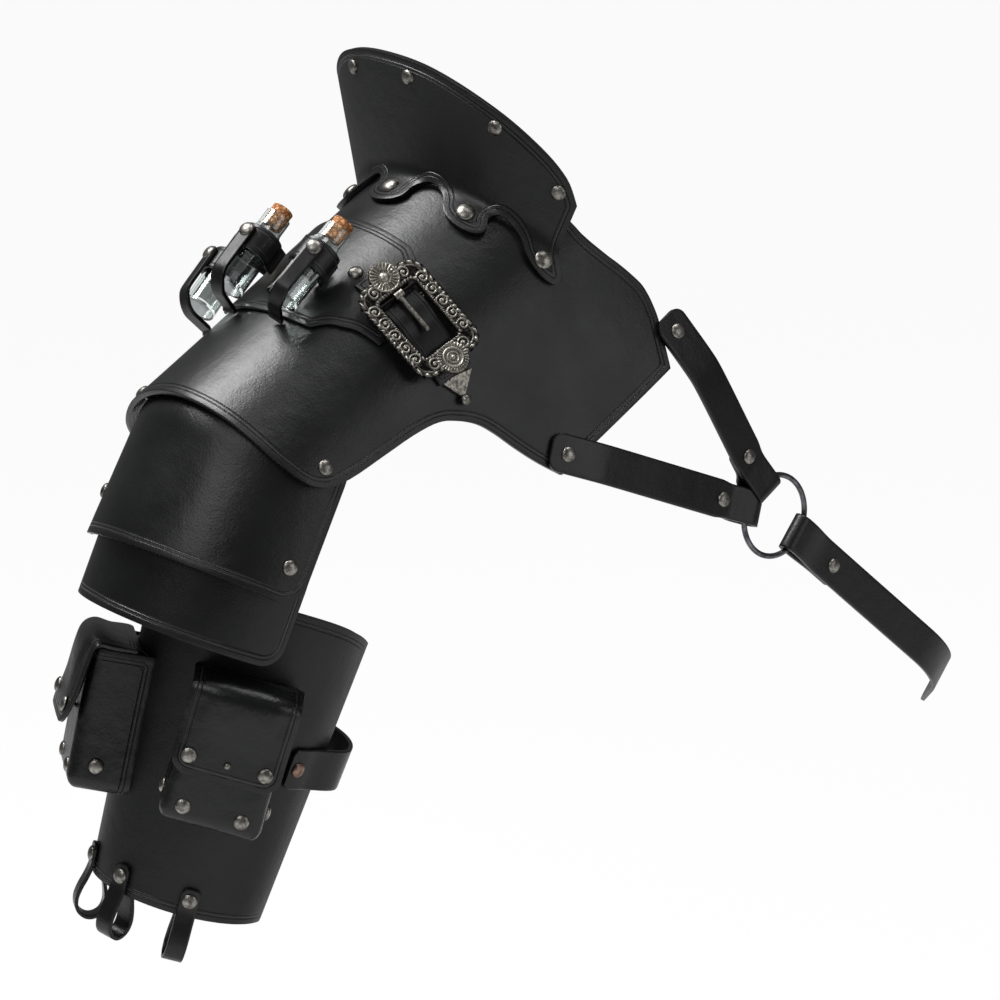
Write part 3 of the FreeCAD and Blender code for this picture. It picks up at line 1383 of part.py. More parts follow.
buckle_strap_half = size.buckle_strap_width / 2
buckle_strap_rows = [[(x, y) for y in spaced(-buckle_strap_half, buckle_strap_half, 5)]
                     for x in spaced(-size.buckle_strap_start, size.buckle_strap_end, 21)]
under_buckle.start = (plate_share(size.buckle_x), size.buckle_across)
buckle_strap_solid = bent_sheet(buckle_strap_face, buckle_strap_rows, size.strap_leather, size.sheet_gap)
feature("buckle_strap", drill(buckle_strap_solid, posts, post_hole, size.post_depth))

tip_start, tip_end = size.buckle_strap_end + size.tip_gap, size.buckle_strap_end + size.tip_length
tip_foot = under_buckle(tip_start, 0.0, size.sheet_gap)
tip_share = under_buckle.start
tip_head = under_buckle(tip_end, -size.tip_ball_radius, size.sheet_gap)
tip_place = frame(tip_foot, tip_head - tip_foot, plate_normal(*tip_share))
tip_reach = (tip_head - tip_foot).Length
tip_outline = [Vector(tip_reach * down, buckle_strap_half * side, 0) for down, side in tip_shares]
tip = Part.Face(Part.makePolygon(tip_outline + tip_outline[:1])).extrude(Vector(0, 0, size.strap_leather))
ball = Part.makeSphere(size.tip_ball_radius, Vector(tip_reach, 0, size.tip_ball_radius))
feature("buckle_strap_tip", placed(tip.fuse(ball), tip_place).cut(buckle_strap_solid))

feature("shoulder_plate", plate_solid)

doc.recompute()
os.makedirs("parts", exist_ok=True)
for item in doc.Objects:
    if "Invalid" in item.State or "Error" in item.State:
        raise RuntimeError("%s did not build" % item.Label)
for item in subparts:
    if item.Shape.isNull() or not item.Shape.isValid():
        raise RuntimeError("%s has no valid shape" % item.Label)
for item in subparts:
    item.Shape.exportStep("parts/%s.step" % item.Label)
    print(item.Label, len(item.Shape.Solids), round(item.Shape.Volume, 1))
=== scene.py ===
import json
import math
import bpy
import numpy
from bpy.props import FloatProperty, FloatVectorProperty, PointerProperty
from bpy.types import Operator, Panel, PropertyGroup
from mathutils import Matrix, Vector, kdtree


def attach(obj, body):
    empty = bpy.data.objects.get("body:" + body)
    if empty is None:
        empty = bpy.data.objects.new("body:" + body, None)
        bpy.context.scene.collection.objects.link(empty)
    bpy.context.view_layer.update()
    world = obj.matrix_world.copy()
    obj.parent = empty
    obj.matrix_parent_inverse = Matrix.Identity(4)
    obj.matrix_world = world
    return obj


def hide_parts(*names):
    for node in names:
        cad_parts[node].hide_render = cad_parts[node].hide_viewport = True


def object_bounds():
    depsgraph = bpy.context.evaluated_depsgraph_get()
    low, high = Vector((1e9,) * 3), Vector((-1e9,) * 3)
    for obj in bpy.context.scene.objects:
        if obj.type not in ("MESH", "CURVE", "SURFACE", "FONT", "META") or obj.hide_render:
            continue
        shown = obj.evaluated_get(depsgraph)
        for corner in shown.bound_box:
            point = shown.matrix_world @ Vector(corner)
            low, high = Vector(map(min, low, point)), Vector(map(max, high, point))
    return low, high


bl_info = {
    "name": "Leather shoulder armour",
    "version": (1, 0, 0),
    "blender": (4, 5, 0),
    "location": "3D View > Sidebar > Armour",
    "description": "Dresses the shoulder armour's frame in leather, glass, cork and antique metal",
    "category": "Object",
}

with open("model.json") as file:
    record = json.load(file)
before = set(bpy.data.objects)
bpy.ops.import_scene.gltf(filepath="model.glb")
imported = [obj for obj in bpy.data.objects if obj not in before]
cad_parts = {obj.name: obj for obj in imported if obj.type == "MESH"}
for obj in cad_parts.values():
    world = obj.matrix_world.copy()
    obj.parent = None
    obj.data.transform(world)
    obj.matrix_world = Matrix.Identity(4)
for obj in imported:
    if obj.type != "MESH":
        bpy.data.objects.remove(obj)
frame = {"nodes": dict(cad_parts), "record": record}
cad_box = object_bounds()

# Lengths are in millimetres until a mesh is made; +X is the wearer's left, +Y the back
MM = 0.001
SURFACE_STEP = 0.01
EDGE_STEP, SHARP_ANGLE = 0.6, 60.0
LEATHER, STRAP, THIN, GAP = 3.0, 2.2, 1.8, 0.3
UP = Vector((0.0, 0.0, 1.0))


def linear_colour(code):
    """An sRGB hex colour as linear numbers."""
    channels = [int(code[place:place + 2], 16) / 255.0 for place in (1, 3, 5)]
    return tuple(c / 12.92 if c <= 0.04045 else ((c + 0.055) / 1.055) ** 2.4 for c in channels)


# Shapes shared by the sheets


def smooth_step(start, end, number):
    """Rises from 0 to 1 between two numbers."""
    share = min(1.0, max(0.0, (number - start) / (end - start)))
    return share * share * (3.0 - 2.0 * share)


def spaced(low, high, count):
    """Evenly spaced numbers, both ends included."""
    return [low + (high - low) * step / (count - 1) for step in range(count)]


def smooth_table(table, number):
    """Smooth reading of a table of pairs."""
    if number <= table[0][0]:
        return table[0][1]
    if number >= table[-1][0]:
        return table[-1][1]
    index = max(i for i in range(len(table) - 1) if table[i][0] <= number)
    x0, y0 = table[index]
    x1, y1 = table[index + 1]
    before, after = table[max(0, index - 1)], table[min(len(table) - 1, index + 2)]
    width = x1 - x0
    slope0 = (y1 - before[1]) / (x1 - before[0])
    slope1 = (after[1] - y0) / (after[0] - x0)
    t = (number - x0) / width
    return ((2 * t ** 3 - 3 * t ** 2 + 1) * y0 + (t ** 3 - 2 * t ** 2 + t) * width * slope0
            + (3 * t ** 2 - 2 * t ** 3) * y1 + (t ** 3 - t ** 2) * width * slope1)


def frame_at(origin, x_axis, z_axis):
    """A place with the given Z direction and, nearest to it, the given X direction."""
    third = z_axis.normalized()
    first = (x_axis - third * x_axis.dot(third)).normalized()
    place = Matrix((first, third.cross(first), third)).transposed().to_4x4()
    place.translation = origin
    return place


def select_only(piece):
    """Selects one object and makes it the active one."""
    bpy.ops.object.select_all(action="DESELECT")
    piece.select_set(True)
    bpy.context.view_layer.objects.active = piece


def grid_piece(name, rows, columns, point):
    """A grid of faces whose corners are at point(row, column)."""
    bpy.ops.object.select_all(action="DESELECT")
    bpy.ops.mesh.primitive_grid_add(x_subdivisions=rows, y_subdivisions=columns, size=1.0,
                                    calc_uvs=False)
    piece = bpy.context.object
    piece.name = piece.data.name = name
    for vertex in piece.data.vertices:
        row = round((vertex.co.x + 0.5) * rows)
        column = round((vertex.co.y + 0.5) * columns)
        vertex.co = point(row, column) * MM
    return piece


def apply_modifier(piece, kind, **settings):
    """Adds a modifier with its settings and applies it."""
    select_only(piece)
    modifier = piece.modifiers.new(kind.lower(), kind)
    for key, value in settings.items():
        setattr(modifier, key, value)
    bpy.ops.object.modifier_apply(modifier=modifier.name)


def smooth(piece, degrees=50):
    select_only(piece)
    bpy.ops.object.shade_smooth_by_angle(angle=math.radians(degrees))


def mark_edges(piece, outline):
    """Keeps each corner's distance from the sheet's cut outline, in millimetres, as an attribute."""
    points = []
    for line in outline:
        for first, second in zip(line, line[1:]):
            steps = max(1, int((second - first).length / EDGE_STEP))
            points += [first.lerp(second, step / steps) for step in range(steps)]
        points.append(line[-1])
    tree = kdtree.KDTree(len(points))
    for index, point in enumerate(points):
        tree.insert(point, index)
    tree.balance()
    attribute = piece.data.attributes.new("edge", "FLOAT", "POINT")
    for index, vertex in enumerate(piece.data.vertices):
        attribute.data[index].value = tree.find(vertex.co / MM)[2]


def sheet(name, surface, places, thickness, lift=0.0, rounding=0.5):
    """A sheet of leather on a surface. places[row][column] holds the two numbers that the
    surface reads, and surface(first, second, height) gives the point."""
    rows, columns = len(places) - 1, len(places[0]) - 1
    top = lift + thickness
    points = [[surface(*spot, top) for spot in row] for row in places]
    piece = grid_piece(name, rows, columns, lambda i, j: points[i][j])
    i, j = rows // 2, columns // 2
    out = surface(*places[i][j], top + 1.0) - points[i][j]
    ahead, aside = points[i + 1][j] - points[i][j], points[i][j + 1] - points[i][j]
    if ahead.cross(aside).dot(out) < 0:
        piece.data.flip_normals()
    mark_edges(piece, [[row[0] for row in points], [row[-1] for row in points], points[0], points[-1]])
    apply_modifier(piece, "SOLIDIFY", thickness=thickness * MM, offset=-1.0)
    apply_modifier(piece, "BEVEL", width=rounding * MM, segments=2, limit_method="ANGLE",
                   angle_limit=math.radians(SHARP_ANGLE))
    smooth(piece)
    return piece


def dress(piece, body, slot, material, *nodes):
    """Hands a finished piece to its body, in place of its CAD nodes."""
    piece.data.materials.clear()
    piece.data.materials.append(material)
    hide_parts(*nodes)
    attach(piece, body)
    return piece


class Route:
    """A strap's inner face as a smooth line in one plane, in a place's own X and Y; its width
    runs along Z and its thickness to the left of travel."""

    def __init__(self, corners, place, rounds=2, step=1.2):
        line = [Vector(corner) for corner in corners]
        for _ in range(rounds):
            cut = [line[0]]
            for first, second in zip(line, line[1:]):
                cut += [first.lerp(second, 0.25), first.lerp(second, 0.75)]
            line = cut + [line[-1]]
        lengths = [0.0]
        for first, second in zip(line, line[1:]):
            lengths.append(lengths[-1] + (second - first).length)
        self.line, self.lengths, self.place = line, lengths, place
        self.length = lengths[-1]
        self.steps = max(8, int(self.length / step))

    def at(self, distance):
        distance = min(max(distance, 0.0), self.length)
        index = int(numpy.searchsorted(self.lengths, distance, side="right")) - 1
        index = min(index, len(self.line) - 2)
        width = self.lengths[index + 1] - self.lengths[index]
        share = (distance - self.lengths[index]) / width if width else 0.0
        return self.line[index].lerp(self.line[index + 1], share)

    def surface(self, distance, side, height):
        spot = self.at(distance)
        way = self.at(distance + 0.4) - self.at(distance - 0.4)
        left = Vector((-way.y, way.x)).normalized()
        return self.place @ Vector((spot.x + left.x * height, spot.y + left.y * height, side))

    def places(self, half, across=8, corner=0.0, far_corner=0.0, narrow=None):
        """Rows of places along the strap, with its ends' corners rounded."""
        stops = set(spaced(0.0, self.length, self.steps))
        for radius, end in ((corner, 0.0), (far_corner, self.length)):
            for turn in spaced(0.0, math.pi / 2, 7):
                inset = radius * (1 - math.cos(turn))
                stops.add(inset if end == 0.0 else end - inset)
        rows = []
        for stop in sorted(stops):
            width = half
            for radius, inset in ((corner, stop), (far_corner, self.length - stop)):
                if radius and inset < radius:
                    curve = math.sqrt(max(0.0, radius ** 2 - (radius - inset) ** 2))
                    width = min(width, half - radius + curve)
            if narrow:
                width -= narrow(stop)
            rows.append([(stop, side * width) for side in spaced(-1.0, 1.0, across + 1)])
        return rows


UPRIGHT = Matrix(((1, 0, 0, 0), (0, 0, -1, 0), (0, 1, 0, 0), (0, 0, 0, 1)))


def lathe(name, profile, place, steps=36):
    """A turned piece: profile holds (radius, height) pairs from one end of its axis to the other."""
    def point(i, j):
        radius, height = profile[j]
        turn = 2 * math.pi * i / steps
        return place @ Vector((radius * math.cos(turn), radius * math.sin(turn), height))

    piece = grid_piece(name, steps, len(profile) - 1, point)
    select_only(piece)
    bpy.ops.object.mode_set(mode="EDIT")
    bpy.ops.mesh.select_all(action="SELECT")
    bpy.ops.mesh.remove_doubles(threshold=MM / 200)
    bpy.ops.mesh.normals_make_consistent(inside=False)
    bpy.ops.object.mode_set(mode="OBJECT")
    smooth(piece, 40)
    return piece


# The shoulder plate's surface

STATIONS = {
    "x": (110.0, 60.0, 0.0, -60.7),
    "radius": (82.0, 80.0, 76.0, 78.0),
    "flank": (74.0, 74.0, 76.0, 72.0),
    "lean": (40.0, 36.0, 33.0, 34.0),
}
RIDGE = math.radians(31.84)
RIDGE_LENGTH = 170.7 / math.cos(RIDGE)
PLATE_REACH = 180.0


def station(share, name):
    """A smooth curve through the four stations' values, from neck to arm."""
    total = 0.0
    for index, value in enumerate(STATIONS[name]):
        weight = 1.0
        for other in range(4):
            if other != index:
                weight *= (share * 3 - other) / (index - other)
        total += weight * value
    return total


def plate_face(share, across):
    """The plate's outer face by share from neck to arm and distance from the ridge."""
    x, radius = station(share, "x"), station(share, "radius")
    flank, lean = math.radians(station(share, "flank")), math.radians(station(share, "lean"))
    side = 1.0 if across >= 0 else -1.0
    arc = min(abs(across), radius * flank)
    rest = abs(across) - arc
    angle = arc / radius
    out = radius * math.sin(angle) + rest * math.cos(flank)
    drop = radius * (1 - math.cos(angle)) + rest * math.sin(flank)
    return Vector((x + math.sin(lean) * drop, -side * out,
                   x * math.tan(RIDGE) + LEATHER / math.cos(RIDGE) - math.cos(lean) * drop))


def plate_normal(share, across):
    step = SURFACE_STEP
    along = plate_face(share + step, across) - plate_face(share - step, across)
    over = plate_face(share, across + step) - plate_face(share, across - step)
    return along.cross(over).normalized()


def on_plate(share, across, height):
    return plate_face(share, across) + plate_normal(share, across) * height


PLATE_EDGES = [
    (0.000, 0.000, 1.000), (0.200, 0.000, 1.004), (0.390, 0.000, 1.010), (0.470, 0.000, 1.001),
    (0.500, 0.002, 0.994), (0.527, 0.005, 0.981), (0.560, 0.003, 0.946), (0.582, 0.000, 0.885),
    (0.598, -0.003, 0.790), (0.614, -0.006, 0.699), (0.635, -0.010, 0.634), (0.668, -0.018, 0.594),
    (0.717, -0.026, 0.558), (0.770, -0.028, 0.538), (0.848, 0.000, 0.519), (0.924, 0.045, 0.498),
    (1.000, 0.090, 0.472),
]


def plate_places():
    neck = [(reach, near) for reach, near, far in PLATE_EDGES]
    arm = [(reach, far) for reach, near, far in PLATE_EDGES]
    half = sorted(set(spaced(0.0, 0.5, 42)) | set(spaced(0.5, 0.7, 36)) | set(spaced(0.7, 1.0, 30)))
    reaches = [-reach for reach in reversed(half)] + half[1:]
    rows = []
    for reach in reaches:
        near, far = smooth_table(neck, abs(reach)), smooth_table(arm, abs(reach))
        rows.append([(near + (far - near) * share, reach * PLATE_REACH) for share in spaced(0.0, 1.0, 78)])
    return rows


# The neck guard's surface

GUARD_REACH, TAB_PITCH, TAB_RADIUS, TAB_BACK = 93.0, 41.0, 11.0, 12.0
NOTCH_RADIUS = TAB_PITCH / 2 - TAB_RADIUS
GUARD_HEIGHT, FOLD_RADIUS, NECK_AXIS_X = 66.0, 6.0, 188.0
GUARD_TOP = [
    (-1.00, 0.45), (-0.93, 0.74), (-0.80, 0.90), (-0.60, 0.97), (-0.40, 1.00), (0.00, 0.95),
    (0.30, 0.90), (0.60, 0.78), (0.80, 0.64), (0.93, 0.50), (1.00, 0.36),
]


def guard_flange(across, back, height):
    """A point of the flange, back from the fold towards the arm."""
    fan = math.radians(50.0 * math.sin(across / GUARD_REACH * math.pi / 2))
    reach = across / GUARD_REACH
    share = (31.5 - 8.5 * reach * reach + back * math.cos(fan)) / RIDGE_LENGTH
    return on_plate(share, across + back * math.sin(fan), height)


def guard_wall(across, up, height):
    """A point of the flared wall above the fold."""
    foot = guard_flange(across, 0.0, GAP + LEATHER)
    outward = Vector((foot.x - NECK_AXIS_X, foot.y, 0.0)).normalized()
    flare = math.radians(10.0)
    lean = math.radians(22.0) * (across / GUARD_REACH) ** 3
    rise = UP * math.cos(flare) + outward * math.sin(flare) + UP.cross(outward) * math.tan(lean)
    face = (outward * math.cos(flare) - UP * math.sin(flare)).normalized()
    return foot + rise * up + face * (height - LEATHER)


def guard_line(across, tip, top, height, count=34):
    """One line of the guard, from a tab's tip over the fold to the rim."""
    lift = GAP + height
    start = guard_flange(across, FOLD_RADIUS, lift)
    corner = guard_flange(across, height - LEATHER, lift)
    end = guard_wall(across, FOLD_RADIUS, height)
    points = []
    if tip > FOLD_RADIUS:
        points += [guard_flange(across, back, lift) for back in spaced(tip, FOLD_RADIUS, 6)]
        first = 0.0
    else:
        first = 1.0 - math.sqrt(tip / FOLD_RADIUS)
        points.append(start * (1 - first) ** 2 + corner * (2 * first * (1 - first)) + end * first ** 2)
    for share in spaced(first, 1.0, 12)[1:-1]:
        rest = 1.0 - share
        points.append(start * (rest * rest) + corner * (2 * share * rest) + end * (share * share))
    points += [guard_wall(across, up, height) for up in spaced(FOLD_RADIUS, top, 12)]
    lengths = [0.0]
    for one, two in zip(points, points[1:]):
        lengths.append(lengths[-1] + (two - one).length)
    even = []
    for target in spaced(0.0, lengths[-1], count):
        index = min(int(numpy.searchsorted(lengths, target, side="right")) - 1, len(points) - 2)
        share = (target - lengths[index]) / max(1e-6, lengths[index + 1] - lengths[index])
        even.append(points[index].lerp(points[index + 1], min(1.0, share)))
    return even


def guard_stops():
    """Places across the guard and how far back its scalloped edge is at each."""
    stops = []
    for tab in range(-2, 3):
        for turn in spaced(math.pi, 0.0, 17):
            stops.append((tab * TAB_PITCH + TAB_RADIUS * math.cos(turn),
                          TAB_BACK + TAB_RADIUS * math.sin(turn)))
        if tab < 2:
            for turn in spaced(math.pi, 0.0, 15)[1:-1]:
                stops.append(((tab + 0.5) * TAB_PITCH + NOTCH_RADIUS * math.cos(turn),
                              TAB_BACK - NOTCH_RADIUS * math.sin(turn)))
    return stops


# The cones that the lames and the arm guard are bent round


class Cone:
    """A leaning cone whose top may roll inwards. Places on it are: distance down its axis,
    angle from its outer side to the front, and height over its outer face."""

    def __init__(self, start, slope, turn, radius, taper, roll=0.0, roll_start=0.0):
        slope, turn = math.radians(slope), math.radians(turn)
        self.start = Vector(start)
        self.down = Vector((-math.sin(slope) * math.cos(turn), math.sin(slope) * math.sin(turn),
                            -math.cos(slope)))
        self.side = (Vector((-1, 0, 0)) + self.down * self.down.x).normalized()
        self.front = self.side.cross(self.down)
        self.radius, self.taper, self.roll, self.roll_start = radius, taper, roll, roll_start

    def reach(self, down, height):
        rolled = max(0.0, self.roll_start - down)
        return self.radius + self.taper * down - self.roll * rolled * rolled + height

    def out(self, angle):
        turn = math.radians(angle)
        return self.side * math.cos(turn) + self.front * math.sin(turn)

    def point(self, down, angle, height):
        return self.start + self.down * down + self.out(angle) * self.reach(down, height)

    def place(self, down, angle, height=0.0):
        """Z away from the face, X down it."""
        out = self.out(angle)
        return frame_at(self.point(down, angle, height), self.down + out * self.taper,
                        out - self.down * self.taper)

    def beside(self, target, height):
        """The point over the face nearest to a target."""
        rest = target - self.start
        down = rest.dot(self.down)
        flat = (rest - self.down * down).normalized()
        return self.start + self.down * down + flat * self.reach(down, height)

    def places(self, middle, half, top, bottom, corner, top_drop=0.0, rows=64, columns=40):
        """Rows down the face, the lower corners rounded and the upper ones dropped."""
        angles = set(spaced(middle - half, middle + half, rows))
        for turn in spaced(0.0, math.pi / 2, 9):
            inset = math.degrees(corner * (1 - math.cos(turn)) / self.radius)
            angles |= {middle - half + inset, middle + half - inset}
        result = []
        for angle in sorted(angles):
            inset = math.radians(half - abs(angle - middle)) * self.radius
            rest = min(corner, max(0.0, corner - inset))
            cut = corner - math.sqrt(max(0.0, (corner - rest) * (corner + rest)))
            start = top + top_drop * (abs(angle - middle) / half) ** 4
            result.append([(down, angle) for down in spaced(start, bottom - cut, columns)])
        return result


upper_cone = Cone((0.2, 0.0, -73.9), 27.1, 3.3, 69.5, 0.030, 0.0136, 7.0)
lower_cone = Cone((-27.6, 0.0, -116.5), 21.8, 16.9, 63.0, 0.0, 0.0093, 6.0)
arm_cone = Cone((-11.5, 3.7, -172.8), 16.9, 32.8, 56.5, -0.081)


# Materials


def add_node(tree, kind, links=None, stops=(), **settings):
    """Adds one node: settings are its properties or, for names that it lacks, its inputs, and
    stops are a colour ramp's places and colours."""
    node = tree.nodes.new(kind)
    for index, (position, colour) in enumerate(stops):
        elements = node.color_ramp.elements
        element = elements[index] if index < len(elements) else elements.new(position)
        element.position = position
        element.color = (*(colour if len(colour) == 3 else colour * 3), 1.0)
    for key, value in settings.items():
        if hasattr(node, key):
            setattr(node, key, value)
        else:
            node.inputs[key.replace("_", " ")].default_value = value
    for key, source in (links or {}).items():
        tree.links.new(source, node.inputs[key])
    return node


def new_material(name):
    """A material with a bare Principled shader."""
    material = bpy.data.materials.new(name)
    material.use_nodes = True
    tree = material.node_tree
    return material, tree, tree.nodes["Principled BSDF"]


# The edge attribute, in mm, at which a colour ramp ends
EDGE_SCALE = 10.0


def leather_material(name, face, band, creases=2, grain=1.3, rough=0.36, pull_depth=0.9):
    """Chrome-tanned cowhide, dyed black through and waxed: a fine pebbled grain with a soft
    sheen, a smooth border inside one or two tooled creases, and burnished cut edges."""
    material, tree, shader = new_material(name)
    where = add_node(tree, "ShaderNodeTexCoord").outputs["Object"]
    edge = add_node(tree, "ShaderNodeAttribute", attribute_name="edge").outputs["Fac"]
    share = add_node(tree, "ShaderNodeMath", {0: edge}, operation="DIVIDE")
    share.inputs[1].default_value = EDGE_SCALE
    pebble = add_node(tree, "ShaderNodeTexVoronoi", {"Vector": where}, Scale=1000.0 / grain)
    fine = add_node(tree, "ShaderNodeTexNoise", {"Vector": where}, Scale=1000.0 / (grain * 0.6), Detail=3.0)
    wide = add_node(tree, "ShaderNodeTexNoise", {"Vector": where}, Scale=1000.0 / 45.0, Detail=5.0,
                    Roughness=0.6)
    pull = add_node(tree, "ShaderNodeTexNoise", {"Vector": where}, Scale=1000.0 / 9.0, Detail=4.0)
    # Painted light in the colour ramp by distance from the cut edge: dark is painted shade in each crease
    # groove (and the darker cut edge), painted_lip_highlight is a painted highlight line beside each groove
    dark, painted_lip_highlight = tuple(c * 0.3 for c in face), linear_colour("#3c3c40")
    if creases == 2:
        colours = [(0.0, dark), (0.035, band), (0.28, band), (0.31, dark), (0.335, dark), (0.375, painted_lip_highlight),
                   (0.41, band), (0.48, band), (0.51, dark), (0.53, dark), (0.57, face)]
        heights = [(0.0, (1.0,)), (0.28, (1.0,)), (0.315, (0.0,)), (0.335, (0.0,)), (0.375, (1.0,)),
                   (0.48, (1.0,)), (0.515, (0.3,)), (0.53, (0.3,)), (0.57, (1.0,))]
    elif creases == 1:
        # One crease: painted shade in its groove and a painted highlight line beside it
        colours = [(0.0, dark), (0.035, band), (0.19, band), (0.215, dark), (0.235, dark), (0.27, painted_lip_highlight),
                   (0.31, face)]
        heights = [(0.0, (1.0,)), (0.19, (1.0,)), (0.22, (0.2,)), (0.235, (0.2,)), (0.28, (1.0,))]
    else:
        colours = [(0.0, dark), (0.05, band), (0.16, face)]
        heights = [(0.0, (0.6,)), (0.08, (1.0,))]
    colour = add_node(tree, "ShaderNodeValToRGB", {"Fac": share.outputs[0]}, colours)
    tone = add_node(tree, "ShaderNodeValToRGB", {"Fac": wide.outputs["Fac"]},
                    [(0.30, (0.7,)), (0.70, (1.25,))])
    mixed = add_node(tree, "ShaderNodeMix", {6: colour.outputs[0], 7: tone.outputs[0]}, data_type="RGBA",
                     blend_type="MULTIPLY")
    mixed.inputs[0].default_value = 1.0
    tree.links.new(mixed.outputs[2], shader.inputs["Base Color"])
    wear = add_node(tree, "ShaderNodeMapRange", {"Value": wide.outputs["Fac"]})
    wear.inputs["From Min"].default_value, wear.inputs["From Max"].default_value = 0.3, 0.7
    wear.inputs["To Min"].default_value, wear.inputs["To Max"].default_value = rough - 0.05, rough + 0.07
    tree.links.new(wear.outputs[0], shader.inputs["Roughness"])
    shader.inputs["Specular IOR Level"].default_value = 0.36
    groove = add_node(tree, "ShaderNodeValToRGB", {"Fac": share.outputs[0]}, heights)
    bump = add_node(tree, "ShaderNodeBump", {"Height": pebble.outputs["Distance"]}, Strength=0.22,
                    Distance=0.00020)
    bump.invert = True
    for height, strength, depth in ((fine.outputs["Fac"], 0.2, 0.12), (pull.outputs["Fac"], 0.3, pull_depth),
                                    (groove.outputs["Color"], 0.9, 0.6)):
        bump = add_node(tree, "ShaderNodeBump", {"Height": height, "Normal": bump.outputs[0]},
                        Strength=strength, Distance=depth * MM)
    tree.links.new(bump.outputs[0], shader.inputs["Normal"])
    return material


def metal_material(name, bright, dull, rough, scale_mm, by_height=False):
    """Plated and tumbled metal: bright where it was rubbed, dull in the hollows."""
    material, tree, shader = new_material(name)
    where = add_node(tree, "ShaderNodeTexCoord").outputs["Object"]
    patina = add_node(tree, "ShaderNodeTexNoise", {"Vector": where}, Scale=1000.0 / scale_mm, Detail=5.0,
                      Roughness=0.65)
    if by_height:
        height = add_node(tree, "ShaderNodeAttribute", attribute_name="height").outputs["Fac"]
        rubbed = add_node(tree, "ShaderNodeMath", {0: height, 1: patina.outputs["Fac"]}, operation="ADD")
        share = add_node(tree, "ShaderNodeMath", {0: rubbed.outputs[0]}, operation="MULTIPLY")
        share.inputs[1].default_value = 0.5
        middle = tuple((a + b) / 2 for a, b in zip(bright, dull))
        colour = add_node(tree, "ShaderNodeValToRGB", {"Fac": share.outputs[0]},
                          [(0.32, dull), (0.56, middle), (0.74, bright)])
    else:
        colour = add_node(tree, "ShaderNodeValToRGB", {"Fac": patina.outputs["Fac"]},
                          [(0.35, dull), (0.62, bright)])
    tree.links.new(colour.outputs[0], shader.inputs["Base Color"])
    worn = add_node(tree, "ShaderNodeMapRange", {"Value": patina.outputs["Fac"]})
    worn.inputs["To Min"].default_value = rough + 0.12
    worn.inputs["To Max"].default_value = rough - 0.06
    tree.links.new(worn.outputs[0], shader.inputs["Roughness"])
    shader.inputs["Metallic"].default_value = 1.0
    bump = add_node(tree, "ShaderNodeBump", {"Height": patina.outputs["Fac"]}, Strength=0.15, Distance=0.0002)
    tree.links.new(bump.outputs[0], shader.inputs["Normal"])
    return material


def glass_material():
    """Clear soda-lime glass, blown in a small mould."""
    material, tree, shader = new_material("clear_soda_glass")
    where = add_node(tree, "ShaderNodeTexCoord").outputs["Object"]
    ripple = add_node(tree, "ShaderNodeTexNoise", {"Vector": where}, Scale=1000.0 / 12.0, Detail=1.0)
    shader.inputs["Base Color"].default_value = (*linear_colour("#f2f8f7"), 1.0)
    shader.inputs["Transmission Weight"].default_value = 1.0
    shader.inputs["IOR"].default_value = 1.5
    shader.inputs["Roughness"].default_value = 0.03
    bump = add_node(tree, "ShaderNodeBump", {"Height": ripple.outputs["Fac"]}, Strength=0.1, Distance=0.0003)
    tree.links.new(bump.outputs[0], shader.inputs["Normal"])
    return material


def cork_material():
    """Pressed natural cork: warm brown with dark pores and cracks."""
    material, tree, shader = new_material("natural_cork")
    where = add_node(tree, "ShaderNodeTexCoord").outputs["Object"]
    cells = add_node(tree, "ShaderNodeTexVoronoi", {"Vector": where}, Scale=1000.0 / 2.2,
                     feature="DISTANCE_TO_EDGE")
    specks = add_node(tree, "ShaderNodeTexNoise", {"Vector": where}, Scale=1000.0 / 1.6, Detail=6.0)
    crack = add_node(tree, "ShaderNodeValToRGB", {"Fac": cells.outputs["Distance"]},
                     [(0.0, linear_colour("#5a3216")), (0.10, linear_colour("#a96b3a")),
                      (0.35, linear_colour("#cf9a68"))])
    speck = add_node(tree, "ShaderNodeValToRGB", {"Fac": specks.outputs["Fac"]},
                     [(0.35, (0.5,)), (0.6, (1.1,))])
    mixed = add_node(tree, "ShaderNodeMix", {6: crack.outputs[0], 7: speck.outputs[0]}, data_type="RGBA",
                     blend_type="MULTIPLY")
    mixed.inputs[0].default_value = 1.0
    tree.links.new(mixed.outputs[2], shader.inputs["Base Color"])
    shader.inputs["Roughness"].default_value = 0.85
    bump = add_node(tree, "ShaderNodeBump", {"Height": cells.outputs["Distance"]}, Strength=0.6,
                    Distance=0.0006)
    tree.links.new(bump.outputs[0], shader.inputs["Normal"])
    return material


class ArmourSettings(PropertyGroup):
    """The sizes and colours that a user would change."""
    leather: FloatVectorProperty(name="Leather", description="Face of the main leather",
                                 subtype="COLOR", default=linear_colour("#0b0c0d"))
    arm_leather: FloatVectorProperty(name="Arm leather", description="Face of the arm guard's leather",
                                     subtype="COLOR", default=linear_colour("#070808"))
    border: FloatVectorProperty(name="Border", description="Smooth border outside the crease",
                                subtype="COLOR", default=linear_colour("#131315"))
    strap: FloatVectorProperty(name="Straps", description="Face of the straps",
                               subtype="COLOR", default=linear_colour("#0a0a0b"))
    grain: FloatProperty(name="Grain", description="Width of one pebble of the leather's grain, in mm",
                         default=1.3, min=0.3, max=4.0)
    key_power: FloatProperty(name="Key light", description="Power of the main soft light, in watts",
                             default=20.0, min=0.0, max=500.0)


